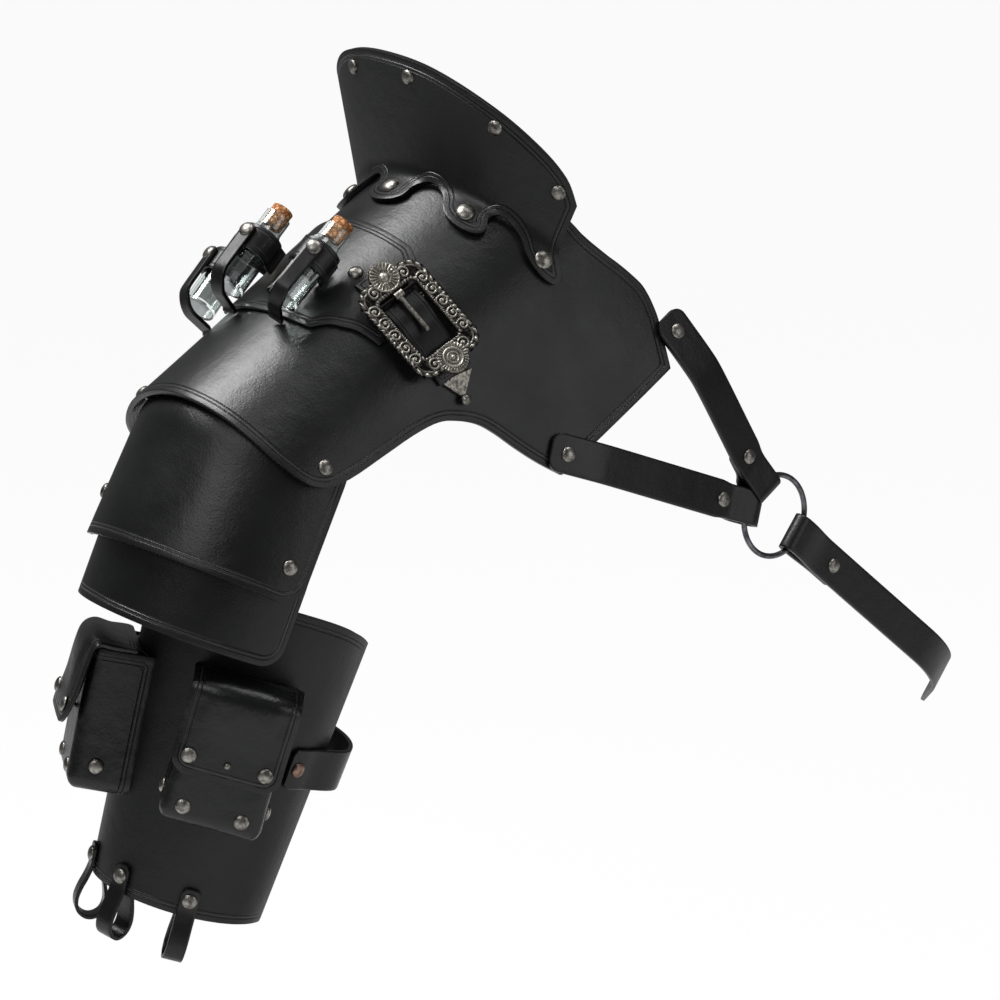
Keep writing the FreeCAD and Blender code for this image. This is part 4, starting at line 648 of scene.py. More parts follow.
class Armour:
    """The materials, made once."""
    made = {}

    @classmethod
    def get(cls, name):
        if not cls.made:
            settings = bpy.context.scene.armour
            face, band = tuple(settings.leather), tuple(settings.border)
            arm, strap = tuple(settings.arm_leather), tuple(settings.strap)
            cls.made = {
                "leather": leather_material("waxed_cowhide", face, band, grain=settings.grain),
                "arm": leather_material("matt_cowhide", arm, band, grain=settings.grain, rough=0.46),
                "moulded": leather_material("wet_moulded_cowhide", face, band, 2, settings.grain, 0.3, 1.8),
                "strap": leather_material("strap_cowhide", strap, band, 1, settings.grain * 0.9),
                "plain": leather_material("plain_cowhide", strap, band, 0, settings.grain * 0.9),
                "glass": glass_material(),
                "cork": cork_material(),
            }
            for key, made_as, bright, dull, rough, patch, by_height in (
                    ("gun", "gun_metal_plating", "#98958f", "#4b4946", 0.34, 3.0, False),
                    ("copper", "antique_copper_plating", "#94786a", "#4c403a", 0.34, 3.0, False),
                    ("silver", "antique_silver_casting", "#9a978f", "#121110", 0.38, 1.2, True),
                    ("tin", "antique_silver_plating", "#96938c", "#3a3834", 0.36, 1.6, False),
                    ("steel", "blackened_steel_wire", "#77757a", "#3a393c", 0.24, 6.0, False)):
                cls.made[key] = metal_material(made_as, linear_colour(bright), linear_colour(dull), rough,
                                               patch, by_height)
        return cls.made[name]


class ARMOUR_OT_plate(Operator):
    """Shoulder plate and neck guard"""
    bl_idname = "armour.plate"
    bl_label = "Plate and neck guard"

    def execute(self, context):
        def below(share, across, height):
            return on_plate(share, across, height - LEATHER)

        piece = sheet("plate_leather", below, plate_places(), LEATHER, rounding=0.7)
        dress(piece, "shoulder", "black_leather", Armour.get("leather"), "shoulder_plate")
        stops = guard_stops()
        lines = {}

        def surface(stop, column, height):
            key = (stop, height)
            if key not in lines:
                across, tip = stops[stop]
                top = GUARD_HEIGHT * smooth_table(GUARD_TOP, across / GUARD_REACH)
                lines[key] = guard_line(across, tip, top, height)
            return lines[key][column]

        places = [[(stop, column) for column in range(34)] for stop in range(len(stops))]
        piece = sheet("neck_guard_leather", surface, places, LEATHER, rounding=0.7)
        dress(piece, "shoulder", "black_leather", Armour.get("leather"), "neck_guard")
        return {"FINISHED"}


class ARMOUR_OT_lames(Operator):
    """Upper and lower lame, with the hanger straps inside them"""
    bl_idname = "armour.lames"
    bl_label = "Lames"

    def execute(self, context):
        places = upper_cone.places(middle=17.6, half=67.7, top=-13.0, bottom=70.5, corner=13.0)
        piece = sheet("upper_lame_leather", upper_cone.point, places, LEATHER, -LEATHER, 0.7)
        dress(piece, "upper_lame", "black_leather", Armour.get("leather"), "lame_upper")
        places = lower_cone.places(middle=22.0, half=71.0, top=-14.0, bottom=46.8, corner=13.0)
        piece = sheet("lower_lame_leather", lower_cone.point, places, LEATHER, -LEATHER, 0.7)
        dress(piece, "lower_lame", "black_leather", Armour.get("leather"), "lame_lower")
        pivots = [(upper_cone.place(52.9, 74.9), arm_cone.place(-24.0, 52.0, 2 * GAP + STRAP)),
                  (upper_cone.place(47.5, -39.7), arm_cone.place(-24.0, -52.0, 2 * GAP + STRAP))]
        for name, (upper, lower) in zip(("front", "rear"), pivots):
            start = lower_cone.beside(upper.translation, 0.0)
            end = arm_cone.beside(lower.translation, 0.0)
            along = (end - start).normalized()
            half = 8.0
            start, end = start - along * half, end + along * half
            across = along.cross(upper.to_3x3() @ UP).normalized()

            def surface(share, side, height):
                target = start + (end - start) * share + across * side
                under = lower_cone.beside(target, height - LEATHER - GAP - STRAP)
                over = arm_cone.beside(target, height + 2 * GAP)
                return under.lerp(over, smooth_step(0.35, 0.62, share))

            length = (end - start).length
            places = []
            rounded = [half * (1 - math.cos(turn)) / length for turn in spaced(0, 1.57, 9)]
            for stop in sorted(set(spaced(0.0, 1.0, 34)) | set(rounded) | {1 - stop for stop in rounded}):
                inset = min(stop, 1 - stop) * length
                wide = math.sqrt(max(0.01, half ** 2 - max(0.0, half - inset) ** 2))
                places.append([(stop, side * wide) for side in spaced(-1.0, 1.0, 9)])
            piece = sheet("hanger_leather_" + name, surface, places, STRAP)
            dress(piece, "lower_lame", "strap_leather", Armour.get("plain"), "hanger_strap_" + name)
        return {"FINISHED"}


class ARMOUR_OT_arm_guard(Operator):
    """Arm guard with its strap and belt loops"""
    bl_idname = "armour.arm_guard"
    bl_label = "Arm guard"

    def execute(self, context):
        piece = sheet("arm_guard_leather", arm_cone.point,
                      arm_cone.places(middle=10.0, half=111.5, top=-36.0, bottom=132.0, corner=2.0,
                                      top_drop=13.0, rows=90, columns=62), LEATHER, -LEATHER, 0.7)
        dress(piece, "arm", "black_leather", Armour.get("arm"), "arm_guard")

        def strap_face(down, angle, height):
            rise = smooth_step(103.0, 130.0, angle) - smooth_step(250.0, 277.0, angle)
            return arm_cone.point(down, angle, height + 8.0 * rise)

        start, end = 94.5 - 6.0, 285.5 + 6.0
        places = []
        for angle in spaced(start, end, 110):
            inset = math.radians(min(angle - start, end - angle)) * 56.5
            wide = 11.0 - max(0.0, 4.0 - inset) ** 2 / 6.0
            places.append([(45.0 + side * wide, angle) for side in spaced(-1.0, 1.0, 9)])
        piece = sheet("arm_strap_leather", strap_face, places, STRAP, GAP)
        dress(piece, "arm", "strap_leather", Armour.get("plain"), "arm_strap")

        shares = [(0.14, 0.46), (0.36, 0.72), (0.60, 0.86), (0.80, 0.66), (0.90, 0.0)]
        outer, inner = GAP, -LEATHER - 1.0
        middle = (outer + inner) / 2
        route = [(9.0 * share, outer) for share in (-0.7, -0.3, 0.0, 0.35, 0.7)]
        route += [(9.0 + 26.0 * down, middle + 8.0 * out) for down, out in shares]
        route += [(9.0 + 26.0 * down, middle - 8.0 * out) for down, out in reversed(shares[:-1])]
        route += [(9.0 * share, inner) for share in (0.7, 0.35, 0.0, -0.3, -0.7)]
        for number, (angle, name) in enumerate(((56.4, "front"), (9.7, "middle"), (-29.7, "rear")), start=1):
            path = Route(route, arm_cone.place(123.0, angle) @ UPRIGHT)
            piece = sheet("belt_loop_leather_" + name, path.surface, path.places(5.0, 6, 3.5, 3.5), THIN)
            dress(piece, "loop_" + name, "strap_leather", Armour.get("plain"), "belt_loop_%d" % number)
        return {"FINISHED"}


class ARMOUR_OT_pouches(Operator):
    """Two small pouches with their flaps"""
    bl_idname = "armour.pouches"
    bl_label = "Pouches"

    def execute(self, context):
        half, height, depth = 26.5, 74.0, 25.0
        for number, top, angle, opened, name in ((1, 4.0, 52.0, 0.0, "front"), (2, 12.0, -32.0, 9.0, "rear")):
            place = arm_cone.place(top, angle)
            radius = arm_cone.reach(top + height / 2, 0.0)

            def rim(turn):
                """The pouch's plan from its left back edge round the front: Y and Z."""
                corner = 6.0
                back = math.sqrt(radius ** 2 - half ** 2) - radius + GAP
                legs = [(-half, back), (-half, depth - corner)]
                lengths = [depth - corner - back, corner * math.pi / 2, 2 * (half - corner)]
                total = 2 * lengths[0] + 2 * lengths[1] + lengths[2]
                along = turn * total
                mirror = along > total / 2
                along = total - along if mirror else along
                if along < lengths[0]:
                    y, z = -half, legs[0][1] + along
                elif along < lengths[0] + lengths[1]:
                    bend = (along - lengths[0]) / corner
                    y, z = -half + corner * (1 - math.cos(bend)), depth - corner + corner * math.sin(bend)
                else:
                    y, z = -half + corner + along - lengths[0] - lengths[1], depth
                return (-y if mirror else y), z

            def wall(turn, down, lift):
                y, z = rim(turn)
                inner = THIN - lift
                corner = 7.0
                floor = height - inner
                if down <= 1.0:
                    x, shrink = down * (floor - corner), 0.0
                elif down <= 2.0:
                    bend = (down - 1.0) * math.pi / 2
                    x = floor - corner + corner * math.sin(bend)
                    shrink = corner * (1 - math.cos(bend))
                else:
                    x, shrink = floor, corner + (down - 2.0) * (half - corner - 0.5)
                scale_y = 1.0 - (shrink + inner) / half
                reach = depth - inner - min(shrink, corner)
                belly = 1.2 * math.sin(math.pi * min(1.0, x / height)) * smooth_step(0.0, depth, z)
                z = min(z, reach) if down <= 2.0 else min(z, reach) * (1 - (down - 2.0)) + 2.0 * (down - 2.0)
                pinch = 1.0 - 0.04 * math.sin(math.pi * min(1.0, x / height))
                return place @ Vector((x, y * scale_y * pinch, z + belly * 0.5))

            downs = spaced(0.0, 1.0, 26) + spaced(1.0, 2.0, 9)[1:] + spaced(2.0, 3.0, 8)[1:]
            places = [[(turn, down) for down in downs] for turn in spaced(0.0, 1.0, 61)]
            body = sheet("pouch_leather_" + name, wall, places, THIN, rounding=0.4)
            backs = [[(down, angle + side) for side in spaced(-24.0, 24.0, 13)]
                     for down in spaced(top, top + 72.0, 9)]
            back = sheet("pouch_back", arm_cone.point, backs, THIN, GAP, 0.4)
            select_only(body)
            back.select_set(True)
            bpy.ops.object.join()
            dress(body, "arm", "black_leather", Armour.get("moulded"), "pouch_%d" % number)

            hinge = Vector((-0.6 - THIN, 0.0, GAP + 0.6))
            swing = place @ Matrix.Translation(hinge) @ Matrix.Rotation(math.radians(-opened), 4, "Y") \
                @ Matrix.Translation(-hinge)
            out, bend = depth + 0.6, 6.0
            route = [(-0.6, 0.9 + (out - bend - 0.9) * share) for share in spaced(0.0, 1.0, 5)]
            route += [(-0.6 + bend - bend * math.cos(t), out - bend + bend * math.sin(t))
                      for t in spaced(0.0, math.pi / 2, 9)[1:]]
            route += [(-0.6 + bend + (47.0 - bend) * share, out) for share in spaced(0.0, 1.0, 9)[1:]]
            path = Route(route, swing @ UPRIGHT, 1)
            low = path.length

            def cover(distance, side, lift):
                spot = path.surface(distance, side, lift)
                over = smooth_step(0.0, 18.0, distance) * (0.3 + 0.7 * smooth_step(low, low - 22.0, distance))
                fall = 3.2 * abs(side / 28.0) ** 3.2 * over - 0.6 * over
                puff = math.sin(math.pi * smooth_step(6.0, low - 14.0, distance)) * (1.0 - (side / 28.0) ** 2)
                fold = math.exp(-((abs(side) - 21.0 + (distance - 30.0) * 0.18) / 2.2) ** 2) \
                    * math.exp(-((distance - 33.0) / 9.0) ** 2)
                fall += 0.9 * fold - 1.7 * max(0.0, puff)
                return spot - (path.surface(distance, side, 1.0) - path.surface(distance, side, 0.0)) * fall

            piece = sheet("pouch_flap_leather_" + name, cover, path.places(28.0, 22, 3.0, 9.0), THIN)
            dress(piece, "flap_" + name, "black_leather", Armour.get("moulded"), "pouch_flap_%d" % number)
        return {"FINISHED"}


def plate_share(x):
    """The share from neck to arm at which the ridge has the given x."""
    low, high = 0.0, 1.0
    for _ in range(30):
        middle = (low + high) / 2
        if plate_face(middle, 0.0).x > x:
            low = middle
        else:
            high = middle
    return low


def vial_place(index):
    """A vial's place: Z runs from the foot to the cork, X points away from the plate."""
    across = -18.0 + index * 38.0
    share = plate_share(-5.0)
    outward = plate_normal(share, across)
    along = Vector((math.cos(RIDGE), 0, math.sin(RIDGE)))
    along = (along - outward * along.dot(outward)).normalized()
    tilt = math.radians(11.0)
    height = GAP + THIN + 1.2 + 8.8 + THIN
    return frame_at(on_plate(share, across, height), outward,
                    along * math.cos(tilt) + outward * math.sin(tilt))


class ARMOUR_OT_vials(Operator):
    """Vial strip with the vials' bands and cradles"""
    bl_idname = "armour.vials"
    bl_label = "Vials"

    def execute(self, context):
        neck = [(0.0, 0.352), (0.60, 0.366), (0.66, 0.378), (0.76, 0.398), (1.0, 0.402)]
        arm = [(0.0, 0.700), (0.50, 0.690), (0.60, 0.658), (0.70, 0.642), (0.80, 0.628), (1.0, 0.620)]
        places = []
        for reach in spaced(-1.0, 1.0, 81):
            near, far = smooth_table(neck, abs(reach)), smooth_table(arm, abs(reach))
            across = reach * (66.0 if reach > 0 else 80.0)
            places.append([(near + (far - near) * share, across) for share in spaced(0.0, 1.0, 31)])
        piece = sheet("vial_strip_leather", on_plate, places, THIN, GAP)
        dress(piece, "shoulder", "black_leather", Armour.get("leather"), "vial_strip")
        for number, name in ((1, "front"), (2, "middle"), (3, "rear")):
            place = vial_place(2 - number)

            def band(turn, up, lift):
                """Round the vial, then down to the strip on both sides of a narrow foot."""
                angle = math.radians(turn)
                reach = 9.1 + lift
                if abs(turn) <= 150.0:
                    return place @ Vector((reach * math.cos(angle), reach * math.sin(angle), up))
                stop = math.radians(math.copysign(150.0, turn))
                down = (abs(turn) - 150.0) / 30.0
                side = math.copysign(1.0, turn)
                start = Vector((reach * math.cos(stop), reach * math.sin(stop), up))
                foot = Vector((-13.6 - lift * 0.2, side * (2.0 + lift), up))
                return place @ start.lerp(foot, down)

            turns = spaced(-180.0, 180.0, 73)
            places = [[(turn, up) for up in spaced(20.0, 34.0, 13)] for turn in turns]
            piece = sheet("vial_band_leather_" + name, band, places, THIN, rounding=0.4)
            dress(piece, "shoulder", "black_leather", Armour.get("strap"), "vial_band_%d" % number)
            over, top, turn = 8.8 + GAP + THIN + GAP, 32.0, 4.4
            route = [(over, top - top * share) for share in (0.0, 0.3, 0.6, 0.85)]
            route += [(over - turn / 8, turn / 2), (over - turn, -turn / 2), (over - turn * 2, -turn),
                      (0.0, -turn), (-turn, -turn), (-over + 1.0, -turn)]
            path = Route(route, place @ Matrix.Rotation(math.radians(24.0), 4, "Z") @ UPRIGHT)
            piece = sheet("vial_cradle_leather_" + name, path.surface, path.places(4.0, 6, 2.5), THIN,
                          rounding=0.4)
            dress(piece, "shoulder", "strap_leather", Armour.get("plain"), "vial_cradle_%d" % number)
        return {"FINISHED"}


FOLD, CHEST_FOLD = 26.0, 40.0
FOLD_SHARES = (0.66, 0.45, 0.95)
RING_CENTRE, RING_RADIUS, RING_WIRE = Vector((248.0, -106.0, -122.0)), 21.5, 1.5
CHEST = Vector((0.0, -1.0, 0.0))
CHEST_DROP = 38.2


def flat_frame(origin, along, out):
    """A place whose X runs along a strap and whose Y points away from the body."""
    third = along.cross(out).normalized()
    first = along.normalized()
    place = Matrix((first, third.cross(first), third)).transposed().to_4x4()
    place.translation = origin
    return place


def fold_route(wire, line, slack, clearance):
    """The end of a strap: to the ring's wire, round it and back under itself."""
    apart = RING_WIRE + clearance
    route = [(line(back).x, line(back).y + GAP / 2) for back in FOLD_SHARES[:2]]
    route += [(wire.x - apart * 2, wire.y + apart), (wire.x + slack / 2, wire.y + apart)]
    route += [(wire.x + slack + apart * math.sin(turn), wire.y + apart * math.cos(turn))
              for turn in spaced(0.0, math.pi, 9)]
    route += [(wire.x + slack / 2, wire.y - apart), (wire.x - apart * 2, wire.y - apart)]
    behind = [line(FOLD_SHARES[step]) for step in (1, 0, 2)]
    return route + [(spot.x, spot.y - GAP / 2) for spot in behind]


class ARMOUR_OT_harness(Operator):
    """Harness straps and the chest strap"""
    bl_idname = "armour.harness"
    bl_label = "Harness"

    def execute(self, context):
        for name, share, across, rest in (("upper", 0.0008, 167.7, 26.0), ("lower", 0.4355, 173.5, 22.0)):
            step = SURFACE_STEP
            out = plate_normal(share, across)
            rivet = on_plate(share, across, STRAP + 0.5)
            to_ring = RING_CENTRE - rivet
            sideways = out.cross(to_ring).normalized()
            local = flat_frame(rivet, sideways.cross(out), out)
            near = RING_CENTRE - (to_ring - CHEST * to_ring.dot(CHEST)).normalized() * RING_RADIUS
            wire = (local.inverted() @ near).to_2d()
            bend = Vector((rest, -STRAP))
            slope = (wire - bend).normalized()

            def line(back):
                return wire - slope * (back * FOLD)

            lead = line(0.0) - bend
            route = [(-10.0, -STRAP), (bend.x - 5.0, bend.y), tuple(bend + lead * (5.0 / lead.length))]
            route += [tuple(line(FOLD_SHARES[2]))] + fold_route(wire, line, 2.95, 1.62)
            path = Route(route, local, 2, 1.0)
            tight = path.length - 55.0

            def narrow(stop):
                return 0.9 * smooth_step(tight - 8.0, tight, stop)

            piece = sheet("harness_leather_" + name, path.surface,
                          path.places(10.0, 10, 6.0, 3.0, narrow), STRAP)
            dress(piece, "shoulder", "strap_leather", Armour.get("plain"), "harness_strap_" + name)
        drop = math.radians(CHEST_DROP)
        along = Vector((-math.cos(drop), 0.0, math.sin(drop)))
        local = flat_frame(RING_CENTRE - along * RING_RADIUS, along, CHEST)
        radius, turn, start = 54.0, math.radians(48.0), -118.0
        end = Vector((start - radius * math.sin(turn), -radius * (1 - math.cos(turn))))
        route = [tuple(end + Vector((-math.cos(turn), -math.sin(turn))) * 36.0)]
        route += [(start - radius * math.sin(t), -radius * (1 - math.cos(t))) for t in spaced(turn, 0.0, 13)]
        route += [(-FOLD_SHARES[2] * CHEST_FOLD, 0.0)]
        route += fold_route(Vector((0.0, 0.0)), lambda back: Vector((-back * CHEST_FOLD, 0.0)), 1.85, 1.2)
        path = Route(route, local, 2, 1.0)
        piece = sheet("chest_strap_leather", path.surface, path.places(10.0, 10, 6.0, 3.0), STRAP)
        dress(piece, "chest", "strap_leather", Armour.get("plain"), "chest_strap")
        return {"FINISHED"}


BUCKLE = frame_at(Vector((45.5, -59.4, -4.7)), Vector((0.332, -0.614, -0.7165)),
                  Vector((-0.347, -0.785, 0.512)))
BUCKLE_LIFT, BUCKLE_PLATE = 6.6, 3.2
WINDOW_HALF, WINDOW_SIDE = 18.0, 11.75
ROSETTE, MEDALLION = Vector((-27.0, 0.0)), Vector((25.8, 0.0))


class PlateFinder:
    """Finds the point of the plate below a place of the buckle's own plane."""

    def __init__(self):
        self.share, self.across = plate_share(45.5), 75.0

    def point(self, x, y, height):
        first, second = BUCKLE.to_3x3() @ Vector((1, 0, 0)), BUCKLE.to_3x3() @ Vector((0, 1, 0))
        target = BUCKLE @ Vector((x, y, 0.0))
        for _ in range(6):
            here = plate_face(self.share, self.across)
            ahead = (plate_face(self.share + SURFACE_STEP, self.across) - here) / SURFACE_STEP
            aside = (plate_face(self.share, self.across + SURFACE_STEP) - here) / SURFACE_STEP
            rest = target - here
            a, b, c, d = ahead.dot(first), aside.dot(first), ahead.dot(second), aside.dot(second)
            e, f = rest.dot(first), rest.dot(second)
            self.share += (e * d - b * f) / (a * d - b * c)
            self.across += (a * f - e * c) / (a * d - b * c)
        return on_plate(self.share, self.across, height)


def rounded_box(x, y, half_x, half_y, corner):
    """Signed distance to a rectangle with rounded corners, negative inside."""
    inside_x, inside_y = numpy.abs(x) - half_x + corner, numpy.abs(y) - half_y + corner
    outer = numpy.hypot(numpy.maximum(inside_x, 0.0), numpy.maximum(inside_y, 0.0))
    return outer + numpy.minimum(numpy.maximum(inside_x, inside_y), 0.0) - corner


def ridge(distance, width):
    """A rounded bead of the given width along a line."""
    return numpy.sqrt(numpy.clip(1.0 - (distance / (width / 2)) ** 2, 0.0, 1.0))


def buckle_relief(x, y):
    """The casting's shape: signed distance to its outline, and height as a share of its relief."""
    outside = rounded_box(x, y, 28.5, 20.5, 9.0)
    window = rounded_box(x, y, WINDOW_HALF, WINDOW_SIDE, 2.5)
    rosette = numpy.hypot(x - ROSETTE.x, y - ROSETTE.y)
    medallion = numpy.hypot(x - MEDALLION.x, y - MEDALLION.y)
    angle = numpy.arctan2(y, x)
    teeth = 0.55 * numpy.cos(angle * 44)
    discs = numpy.minimum(rosette - 8.2, medallion - 8.5)
    outline = numpy.maximum(numpy.minimum(outside + teeth * 0.6, discs), -window)
    height = 0.16 + 0.0 * x
    height = numpy.maximum(height, 0.95 * ridge(outside + 1.3, 2.4) * (0.62 + 0.38 * numpy.cos(angle * 44)))
    height = numpy.maximum(height, 0.62 * ridge(outside + 2.9, 0.9))
    around = numpy.mod(angle / (2 * math.pi) * 76, 1.0) - 0.5
    beads = 0.7 + 0.3 * numpy.cos(around * 2 * math.pi)
    height = numpy.maximum(height, 0.75 * ridge(window - 1.2, 1.9) * beads)
    # S-scrolls: a row of linked spirals along each rail and end bar
    scrolls = [(sx, sy * 16.0, turn) for sy in (-1, 1) for sx, turn in
               ((-15.5, 1), (-7.8, -1), (0.0, 1), (7.8, -1), (15.5, 1))]
    scrolls += [(side * 23.2, up * 9.8, up) for side in (-1, 1) for up in (-1, 1)]
    for centre_x, centre_y, turn in scrolls:
        dx, dy = x - centre_x, y - centre_y
        radius = numpy.hypot(dx, dy)
        spin = numpy.arctan2(dy, dx) * turn
        pitch = 2.05
        arm = numpy.mod(radius - pitch * (spin + math.pi) / (2 * math.pi), pitch) - pitch / 2
        scroll = ridge(arm, 1.35) * numpy.clip((3.9 - radius) / 0.6, 0.0, 1.0)
        height = numpy.maximum(height, 0.85 * scroll)
        height = numpy.maximum(height, 1.0 * ridge(radius, 1.9))
    for centre, size, ribs, is_rosette in ((rosette, 8.2, 22, True), (medallion, 8.5, 30, False)):
        hub = ROSETTE if is_rosette else MEDALLION
        turn = numpy.arctan2(y - hub.y, x - hub.x)
        inside = centre < size
        dish = 0.35 + 0.0 * x
        if is_rosette:
            dish = numpy.maximum(dish, numpy.where((centre > 3.3) & (centre < 7.2),
                                                   0.55 + 0.45 * numpy.cos(turn * ribs), 0.0))
            dish = numpy.maximum(dish, 1.25 * ridge(centre, 5.4))
            dish = numpy.maximum(dish, 0.9 * ridge(centre - 7.6, 1.0))
        else:
            dish = numpy.maximum(dish, numpy.where((centre > 6.0) & (centre < 8.1),
                                                   0.55 + 0.45 * numpy.cos(turn * ribs), 0.0))
            dish = numpy.maximum(dish, 1.1 * ridge(centre - 5.0, 1.5))
            dish = numpy.maximum(dish, 0.9 * ridge(centre - 2.9, 1.0))
            dish = numpy.maximum(dish, 1.3 * ridge(centre, 3.2))
        height = numpy.where(inside, dish + 0.25, height)
    return outline, height


class ARMOUR_OT_buckle(Operator):
    """Cast buckle with its scrollwork, and the strap end under it"""
    bl_idname = "armour.buckle"
    bl_label = "Buckle"

    def execute(self, context):
        finder = PlateFinder()

        def strap_face(x, y, height):
            over = (THIN + GAP) * (1 - smooth_step(-0.35, 0.35, x / WINDOW_HALF))
            arch = 0.15 * (1 + math.cos(math.pi * min(1.0, abs(x) / WINDOW_HALF)))
            return finder.point(x, y, height + arch + over)

        places = [[(x, y) for y in spaced(-10.5, 10.5, 15)] for x in spaced(-33.0, 31.0, 46)]
        piece = sheet("buckle_strap_leather", strap_face, places, STRAP, GAP)
        dress(piece, "shoulder", "strap_leather", Armour.get("strap"), "buckle_strap")

        columns, rows, half_x, half_y = 228, 150, 35.0, 22.5
        xs, ys = numpy.linspace(-36.5, 35.5, columns + 1), numpy.linspace(-half_y, half_y, rows + 1)
        grid_x, grid_y = numpy.meshgrid(xs, ys, indexing="ij")
        outline, height = buckle_relief(grid_x, grid_y)
        step = xs[1] - xs[0]
        slope_x, slope_y = numpy.gradient(outline, xs, ys)
        size = numpy.maximum(numpy.hypot(slope_x, slope_y), 0.3)
        near = (outline > 0) & (outline < step * 1.6)
        grid_x = numpy.where(near, grid_x - outline * slope_x / size ** 2, grid_x)
        grid_y = numpy.where(near, grid_y - outline * slope_y / size ** 2, grid_y)
        edge_fall = numpy.clip(-outline / 0.5, 0.0, 1.0)
        relief = BUCKLE_LIFT + 1.7 + 1.5 * height * (0.35 + 0.65 * edge_fall)

        def point(i, j):
            return BUCKLE @ Vector((grid_x[i, j], grid_y[i, j], relief[i, j]))

        piece = grid_piece("buckle_casting", columns, rows, point)
        select_only(piece)
        bpy.ops.object.mode_set(mode="EDIT")
        bpy.ops.mesh.select_mode(type="VERT")
        bpy.ops.mesh.select_all(action="DESELECT")
        bpy.ops.object.mode_set(mode="OBJECT")
        attribute = piece.data.attributes.new("height", "FLOAT", "POINT")
        drop = outline >= step * 1.6
        for index, vertex in enumerate(piece.data.vertices):
            i, j = index % (columns + 1), index // (columns + 1)
            attribute.data[index].value = float(height[i, j] * edge_fall[i, j])
            vertex.select = bool(drop[i, j])
        bpy.ops.object.mode_set(mode="EDIT")
        bpy.ops.mesh.delete(type="VERT")
        bpy.ops.mesh.select_all(action="SELECT")
        bpy.ops.mesh.delete_loose()
        bpy.ops.object.mode_set(mode="OBJECT")
        apply_modifier(piece, "SOLIDIFY", thickness=1.7 * MM, offset=-1.0)
        smooth(piece, 70)
        pin_x = -WINDOW_HALF + 2.3
        long = WINDOW_SIDE + 1
        turned = BUCKLE @ Matrix.Translation((pin_x, 0, BUCKLE_LIFT + 1.6))
        turned = turned @ Matrix.Rotation(math.pi / 2, 4, "X")
        parts = [lathe("buckle_pin", [(0.0, -long), (1.0, -long), (1.0, long), (0.0, long)], turned, 16)]
        post = [(0.0, BUCKLE_LIFT + 2.2), (2.6, BUCKLE_LIFT + 2.0), (1.8, 4.0), (1.8, -9.0), (0.0, -9.0)]
        for centre in (ROSETTE.x, MEDALLION.x):
            parts.append(lathe("buckle_post", post, BUCKLE @ Matrix.Translation((centre, 0, 0)), 16))
        for part in parts:
            part.data.attributes.new("height", "FLOAT", "POINT")
        select_only(piece)
        for part in parts:
            part.select_set(True)
        bpy.ops.object.join()
        dress(piece, "shoulder", "antique_silver", Armour.get("silver"), "buckle_frame")
        return {"FINISHED"}


class ARMOUR_OT_hardware(Operator):
    """Rivets, ring, prong, vials and corks: the frame's own turned pieces, refinished"""
    bl_idname = "armour.hardware"
    bl_label = "Hardware"

    def execute(self, context):
        finishes = {"gun_metal": "gun", "copper_rivet": "copper", "antique_silver": "tin",
                    "ring_steel": "steel",
                    "clear_glass": "glass", "cork": "cork"}
        for part in frame["record"]["subparts"]:
            finish = finishes.get(part["material_slot"])
            node = frame["nodes"].get(part["node"])
            if not finish or node is None or part["node"] == "buckle_frame":
                continue
            if not node.material_slots:
                node.data.materials.append(None)
            for slot in node.material_slots:
                slot.link = "OBJECT"
                slot.material = Armour.get(finish)
        return {"FINISHED"}


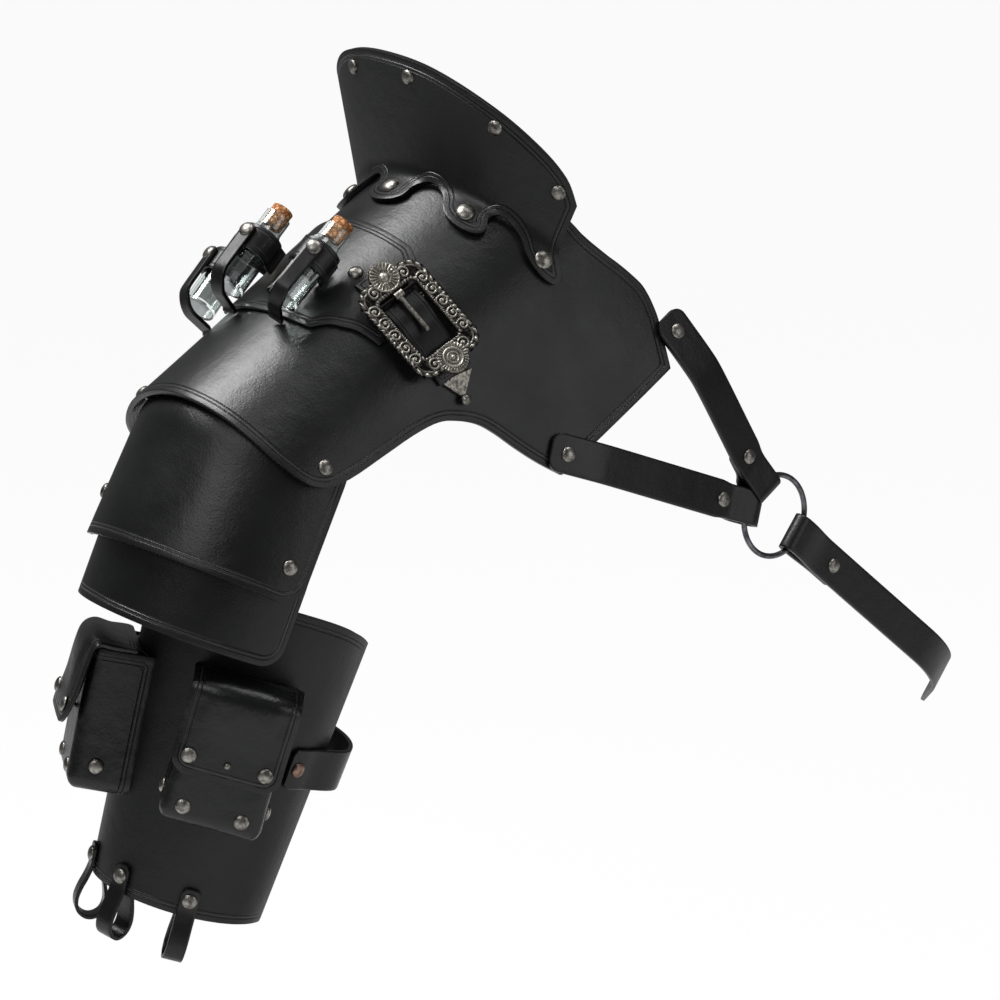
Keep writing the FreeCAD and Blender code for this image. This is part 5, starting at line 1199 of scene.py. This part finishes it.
class ARMOUR_OT_stage(Operator):
    """Pale floor, soft studio light and the camera"""
    bl_idname = "armour.stage"
    bl_label = "Stage"

    def execute(self, context):
        scene = context.scene
        low, high = cad_box
        bpy.ops.mesh.primitive_plane_add(size=12.0, location=(0.0, 0.0, low[2] - 0.12))
        floor = context.object
        floor.name = "studio_floor"
        material, tree, shader = new_material("white_paper_floor")
        shader.inputs["Base Color"].default_value = (*linear_colour("#f4f4f4"), 1.0)
        shader.inputs["Roughness"].default_value = 0.9
        rays = add_node(tree, "ShaderNodeLightPath")
        glow = add_node(tree, "ShaderNodeEmission", Strength=1.0)
        both = add_node(tree, "ShaderNodeMix", {0: rays.outputs["Is Camera Ray"]}, data_type="FLOAT")
        both.inputs[2].default_value, both.inputs[3].default_value = 0.0, 0.95
        mix = add_node(tree, "ShaderNodeMixShader",
                       {0: both.outputs[0], 1: shader.outputs[0], 2: glow.outputs[0]})
        output = tree.nodes["Material Output"]
        tree.links.new(mix.outputs[0], output.inputs["Surface"])
        floor.data.materials.append(material)

        world = bpy.data.worlds.new("white_studio")
        scene.world = world
        world.use_nodes = True
        tree = world.node_tree
        background = tree.nodes["Background"]
        rays = add_node(tree, "ShaderNodeLightPath")
        seen = add_node(tree, "ShaderNodeMath", operation="MAXIMUM",
                        links={0: rays.outputs["Is Camera Ray"], 1: rays.outputs["Is Transmission Ray"]})
        glossy = add_node(tree, "ShaderNodeMath", {0: rays.outputs["Is Glossy Ray"]}, operation="MULTIPLY")
        glossy.inputs[1].default_value = 0.15
        level = add_node(tree, "ShaderNodeMath", {0: seen.outputs[0], 1: glossy.outputs[0]},
                         operation="MAXIMUM")
        strength = add_node(tree, "ShaderNodeMath", {0: level.outputs[0]}, operation="MAXIMUM")
        strength.inputs[1].default_value = 0.1
        tree.links.new(strength.outputs[0], background.inputs["Strength"])
        background.inputs["Color"].default_value = (1.0, 1.0, 1.0, 1.0)

        middle = Vector((0.0754, -0.0891, -0.0929))
        right, up = Vector((0.766, -0.643, 0.0)), Vector((0.1336, 0.1593, 0.9781))
        back = Vector((-0.6288, -0.7493, 0.2079))
        power = scene.armour.key_power
        for name, place, width, height, watts in (
                ("key", right * -0.55 + up * 1.1 + back * 0.1, 0.55, 0.5, power),
                ("front", right * -0.7 + up * 0.9 + back * 1.5, 0.9, 0.9, power * 0.42),
                ("top", right * 0.5 + up * 1.6 + back * 0.3, 0.9, 0.7, power * 0.5),
                ("fill", right * 1.5 + up * 0.2 + back * 1.0, 0.8, 1.2, power * 0.25)):
            lamp = bpy.data.lights.new(name + "_softbox", "AREA")
            lamp.shape, lamp.size, lamp.size_y, lamp.energy = "RECTANGLE", width, height, watts
            holder = bpy.data.objects.new(name + "_softbox", lamp)
            scene.collection.objects.link(holder)
            holder.matrix_world = frame_at(middle + place, UP.cross(place), place)

        camera = bpy.data.cameras.new("camera")
        camera.lens, camera.sensor_width = 172.8, 36.0
        camera.clip_end = 20.0
        holder = bpy.data.objects.new("camera", camera)
        scene.collection.objects.link(holder)
        place = Matrix((right, up, back)).transposed().to_4x4()
        place.translation = (-1.4337, -1.8874, 0.4060)
        holder.matrix_world = place
        scene.camera = holder
        scene.view_settings.view_transform = "Standard"
        return {"FINISHED"}


class ARMOUR_PT_panel(Panel):
    """Lists the armour's pieces"""
    bl_label = "Shoulder armour"
    bl_space_type = "VIEW_3D"
    bl_region_type = "UI"
    bl_category = "Armour"

    def draw(self, context):
        for name in ("leather", "arm_leather", "border", "strap", "grain", "key_power"):
            self.layout.prop(context.scene.armour, name)
        for operator in OPERATORS:
            self.layout.operator(operator.bl_idname)


OPERATORS = (ARMOUR_OT_stage, ARMOUR_OT_plate, ARMOUR_OT_lames, ARMOUR_OT_arm_guard, ARMOUR_OT_pouches,
             ARMOUR_OT_vials, ARMOUR_OT_harness, ARMOUR_OT_buckle, ARMOUR_OT_hardware)
CLASSES = (ArmourSettings,) + OPERATORS + (ARMOUR_PT_panel,)


def register():
    for item in CLASSES:
        bpy.utils.register_class(item)
    bpy.types.Scene.armour = PointerProperty(type=ArmourSettings)


def unregister():
    del bpy.types.Scene.armour
    for item in reversed(CLASSES):
        bpy.utils.unregister_class(item)


def main():
    register()
    bpy.ops.armour.stage()
    bpy.ops.armour.plate()
    bpy.ops.armour.lames()
    bpy.ops.armour.arm_guard()
    bpy.ops.armour.pouches()
    bpy.ops.armour.vials()
    bpy.ops.armour.harness()
    bpy.ops.armour.buckle()
    bpy.ops.armour.hardware()
    bpy.context.view_layer.update()


if __name__ == "__main__":
    main()
